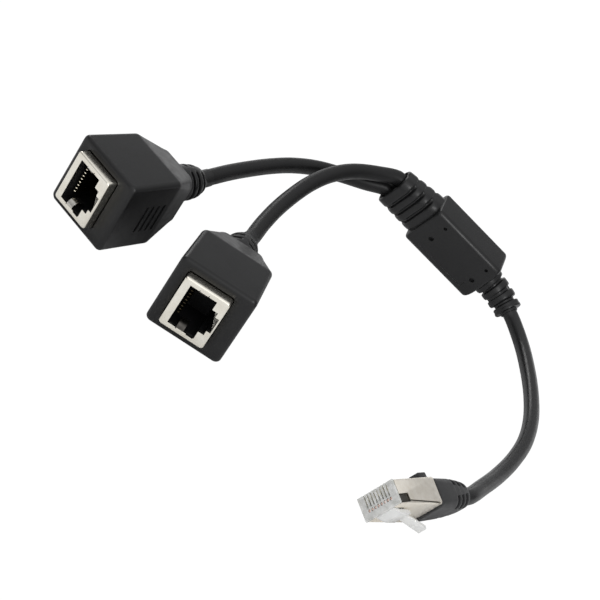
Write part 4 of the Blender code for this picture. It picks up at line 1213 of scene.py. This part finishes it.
def build_plug(mats):
    turn = spun(PLUG_TURN)
    tail_local = Vector((0.0, CAN_Y + GAP + BOOT_Y, BOOT_MID))
    place = Matrix.Translation(SHIFT + PLUG_TAIL) @ turn @ Matrix.Translation(-tail_local)
    settle(plug_core("plug_core", mats["clear"]), place, "plug_body")
    latch = plug_latch("plug_latch", mats["milky"])
    latch.data.transform(place)
    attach(latch, "root")
    hood, tabs = plug_can("plug_hood", mats["can"], mats["shade"])
    settle(hood, place, "plug_shield")
    tabs.data.transform(place)
    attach(tabs, "root")
    settle(plug_boot("plug_relief", mats["boot"]), place, "plug_boot")
    blades = []
    wires = []
    for i in range(CONTACTS):
        x = contact_at(i)
        side = [
            (0.0004, 0.0008), (0.0008, 0.0003), (COMB_Y - GAP, 0.0003), (COMB_Y - GAP, COMB_Z - GAP),
            (0.0012, COMB_Z - GAP), (0.0004, COMB_Z - 0.0010),
        ]
        blades.append(prism("blade", side, x - BLADE / 2.0, x + BLADE / 2.0, "X", None, 0.00005, 2))
        rings = []
        for y, part in ((0.0003, 0.8), (0.0004, 1.0), (0.0084, 1.0)):
            ring = circle(x, COMB_Z + WIRE_LIFT, part * WIRE_RADIUS)
            rings.append([(a, y, b) for a, b in ring])
        wires.append(loft("wire", rings, None))
    blade_nodes = ["plug_blade_%d" % (i + 1) for i in range(CONTACTS)]
    wire_nodes = ["plug_wire_%d" % (i + 1) for i in range(CONTACTS)]
    settle(gather("plug_contacts", blades, mats["gold"]), place, *blade_nodes)
    settle(gather("plug_conductors", wires, mats["wire"]), place, *wire_nodes)
    return (turn @ Vector((0.0, 1.0, 0.0, 0.0))).to_3d()


# Cables
def cable(name, points, diameter, mat, node):
    line = bpy.data.curves.new(name, "CURVE")
    line.dimensions = "3D"
    line.bevel_depth = diameter / 2.0
    line.bevel_resolution = 8
    line.use_fill_caps = True
    stops = smooth_line(points, 0.0012)
    run = line.splines.new("POLY")
    run.points.add(len(stops) - 1)
    for spot, stop in zip(run.points, stops):
        spot.co = (*stop, 1.0)
    run.use_smooth = True
    line.materials.append(mat)
    made = bpy.data.objects.new(name, line)
    bpy.context.scene.collection.objects.link(made)
    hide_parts(node)
    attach(made, "root")


def ended(start, start_dir, free, end, end_dir, lead, arrive):
    first = start + start_dir * GAP
    last = end - end_dir * GAP
    middle = [Vector(p) + SHIFT for p in free]
    return [first, first + start_dir * lead] + middle + [last - end_dir * arrive, last]


def build_cables(mats, exits, twin_ends, body_dir, tail_end, tail_run, plug_dir):
    for label, free in (("a", BRANCH_A_ROUTE), ("b", BRANCH_B_ROUTE)):
        start, start_dir = exits[label]
        route = ended(start, start_dir, free, twin_ends[label], body_dir, 0.002, 0.002)
        cable("branch_lead_%s" % label, route, BRANCH_DIAMETER, mats["branch"], "branch_cable_%s" % label)
    route = ended(tail_end, tail_run, TRUNK_ROUTE, SHIFT + PLUG_TAIL, -plug_dir, 0.002, 0.003)
    cable("trunk_lead", route, TRUNK_DIAMETER, mats["jacket"], "trunk_cable")


bpy.context.scene.view_settings.view_transform = "Standard"
bpy.context.scene.view_settings.look = "None"
place_camera()
mats = build_materials()
build_stage()
build_lights()
exits = build_sockets(mats)
twin_ends, body_dir, tail_end, tail_run = build_splitter(mats)
plug_dir = build_plug(mats)
build_cables(mats, exits, twin_ends, body_dir, tail_end, tail_run, plug_dir)
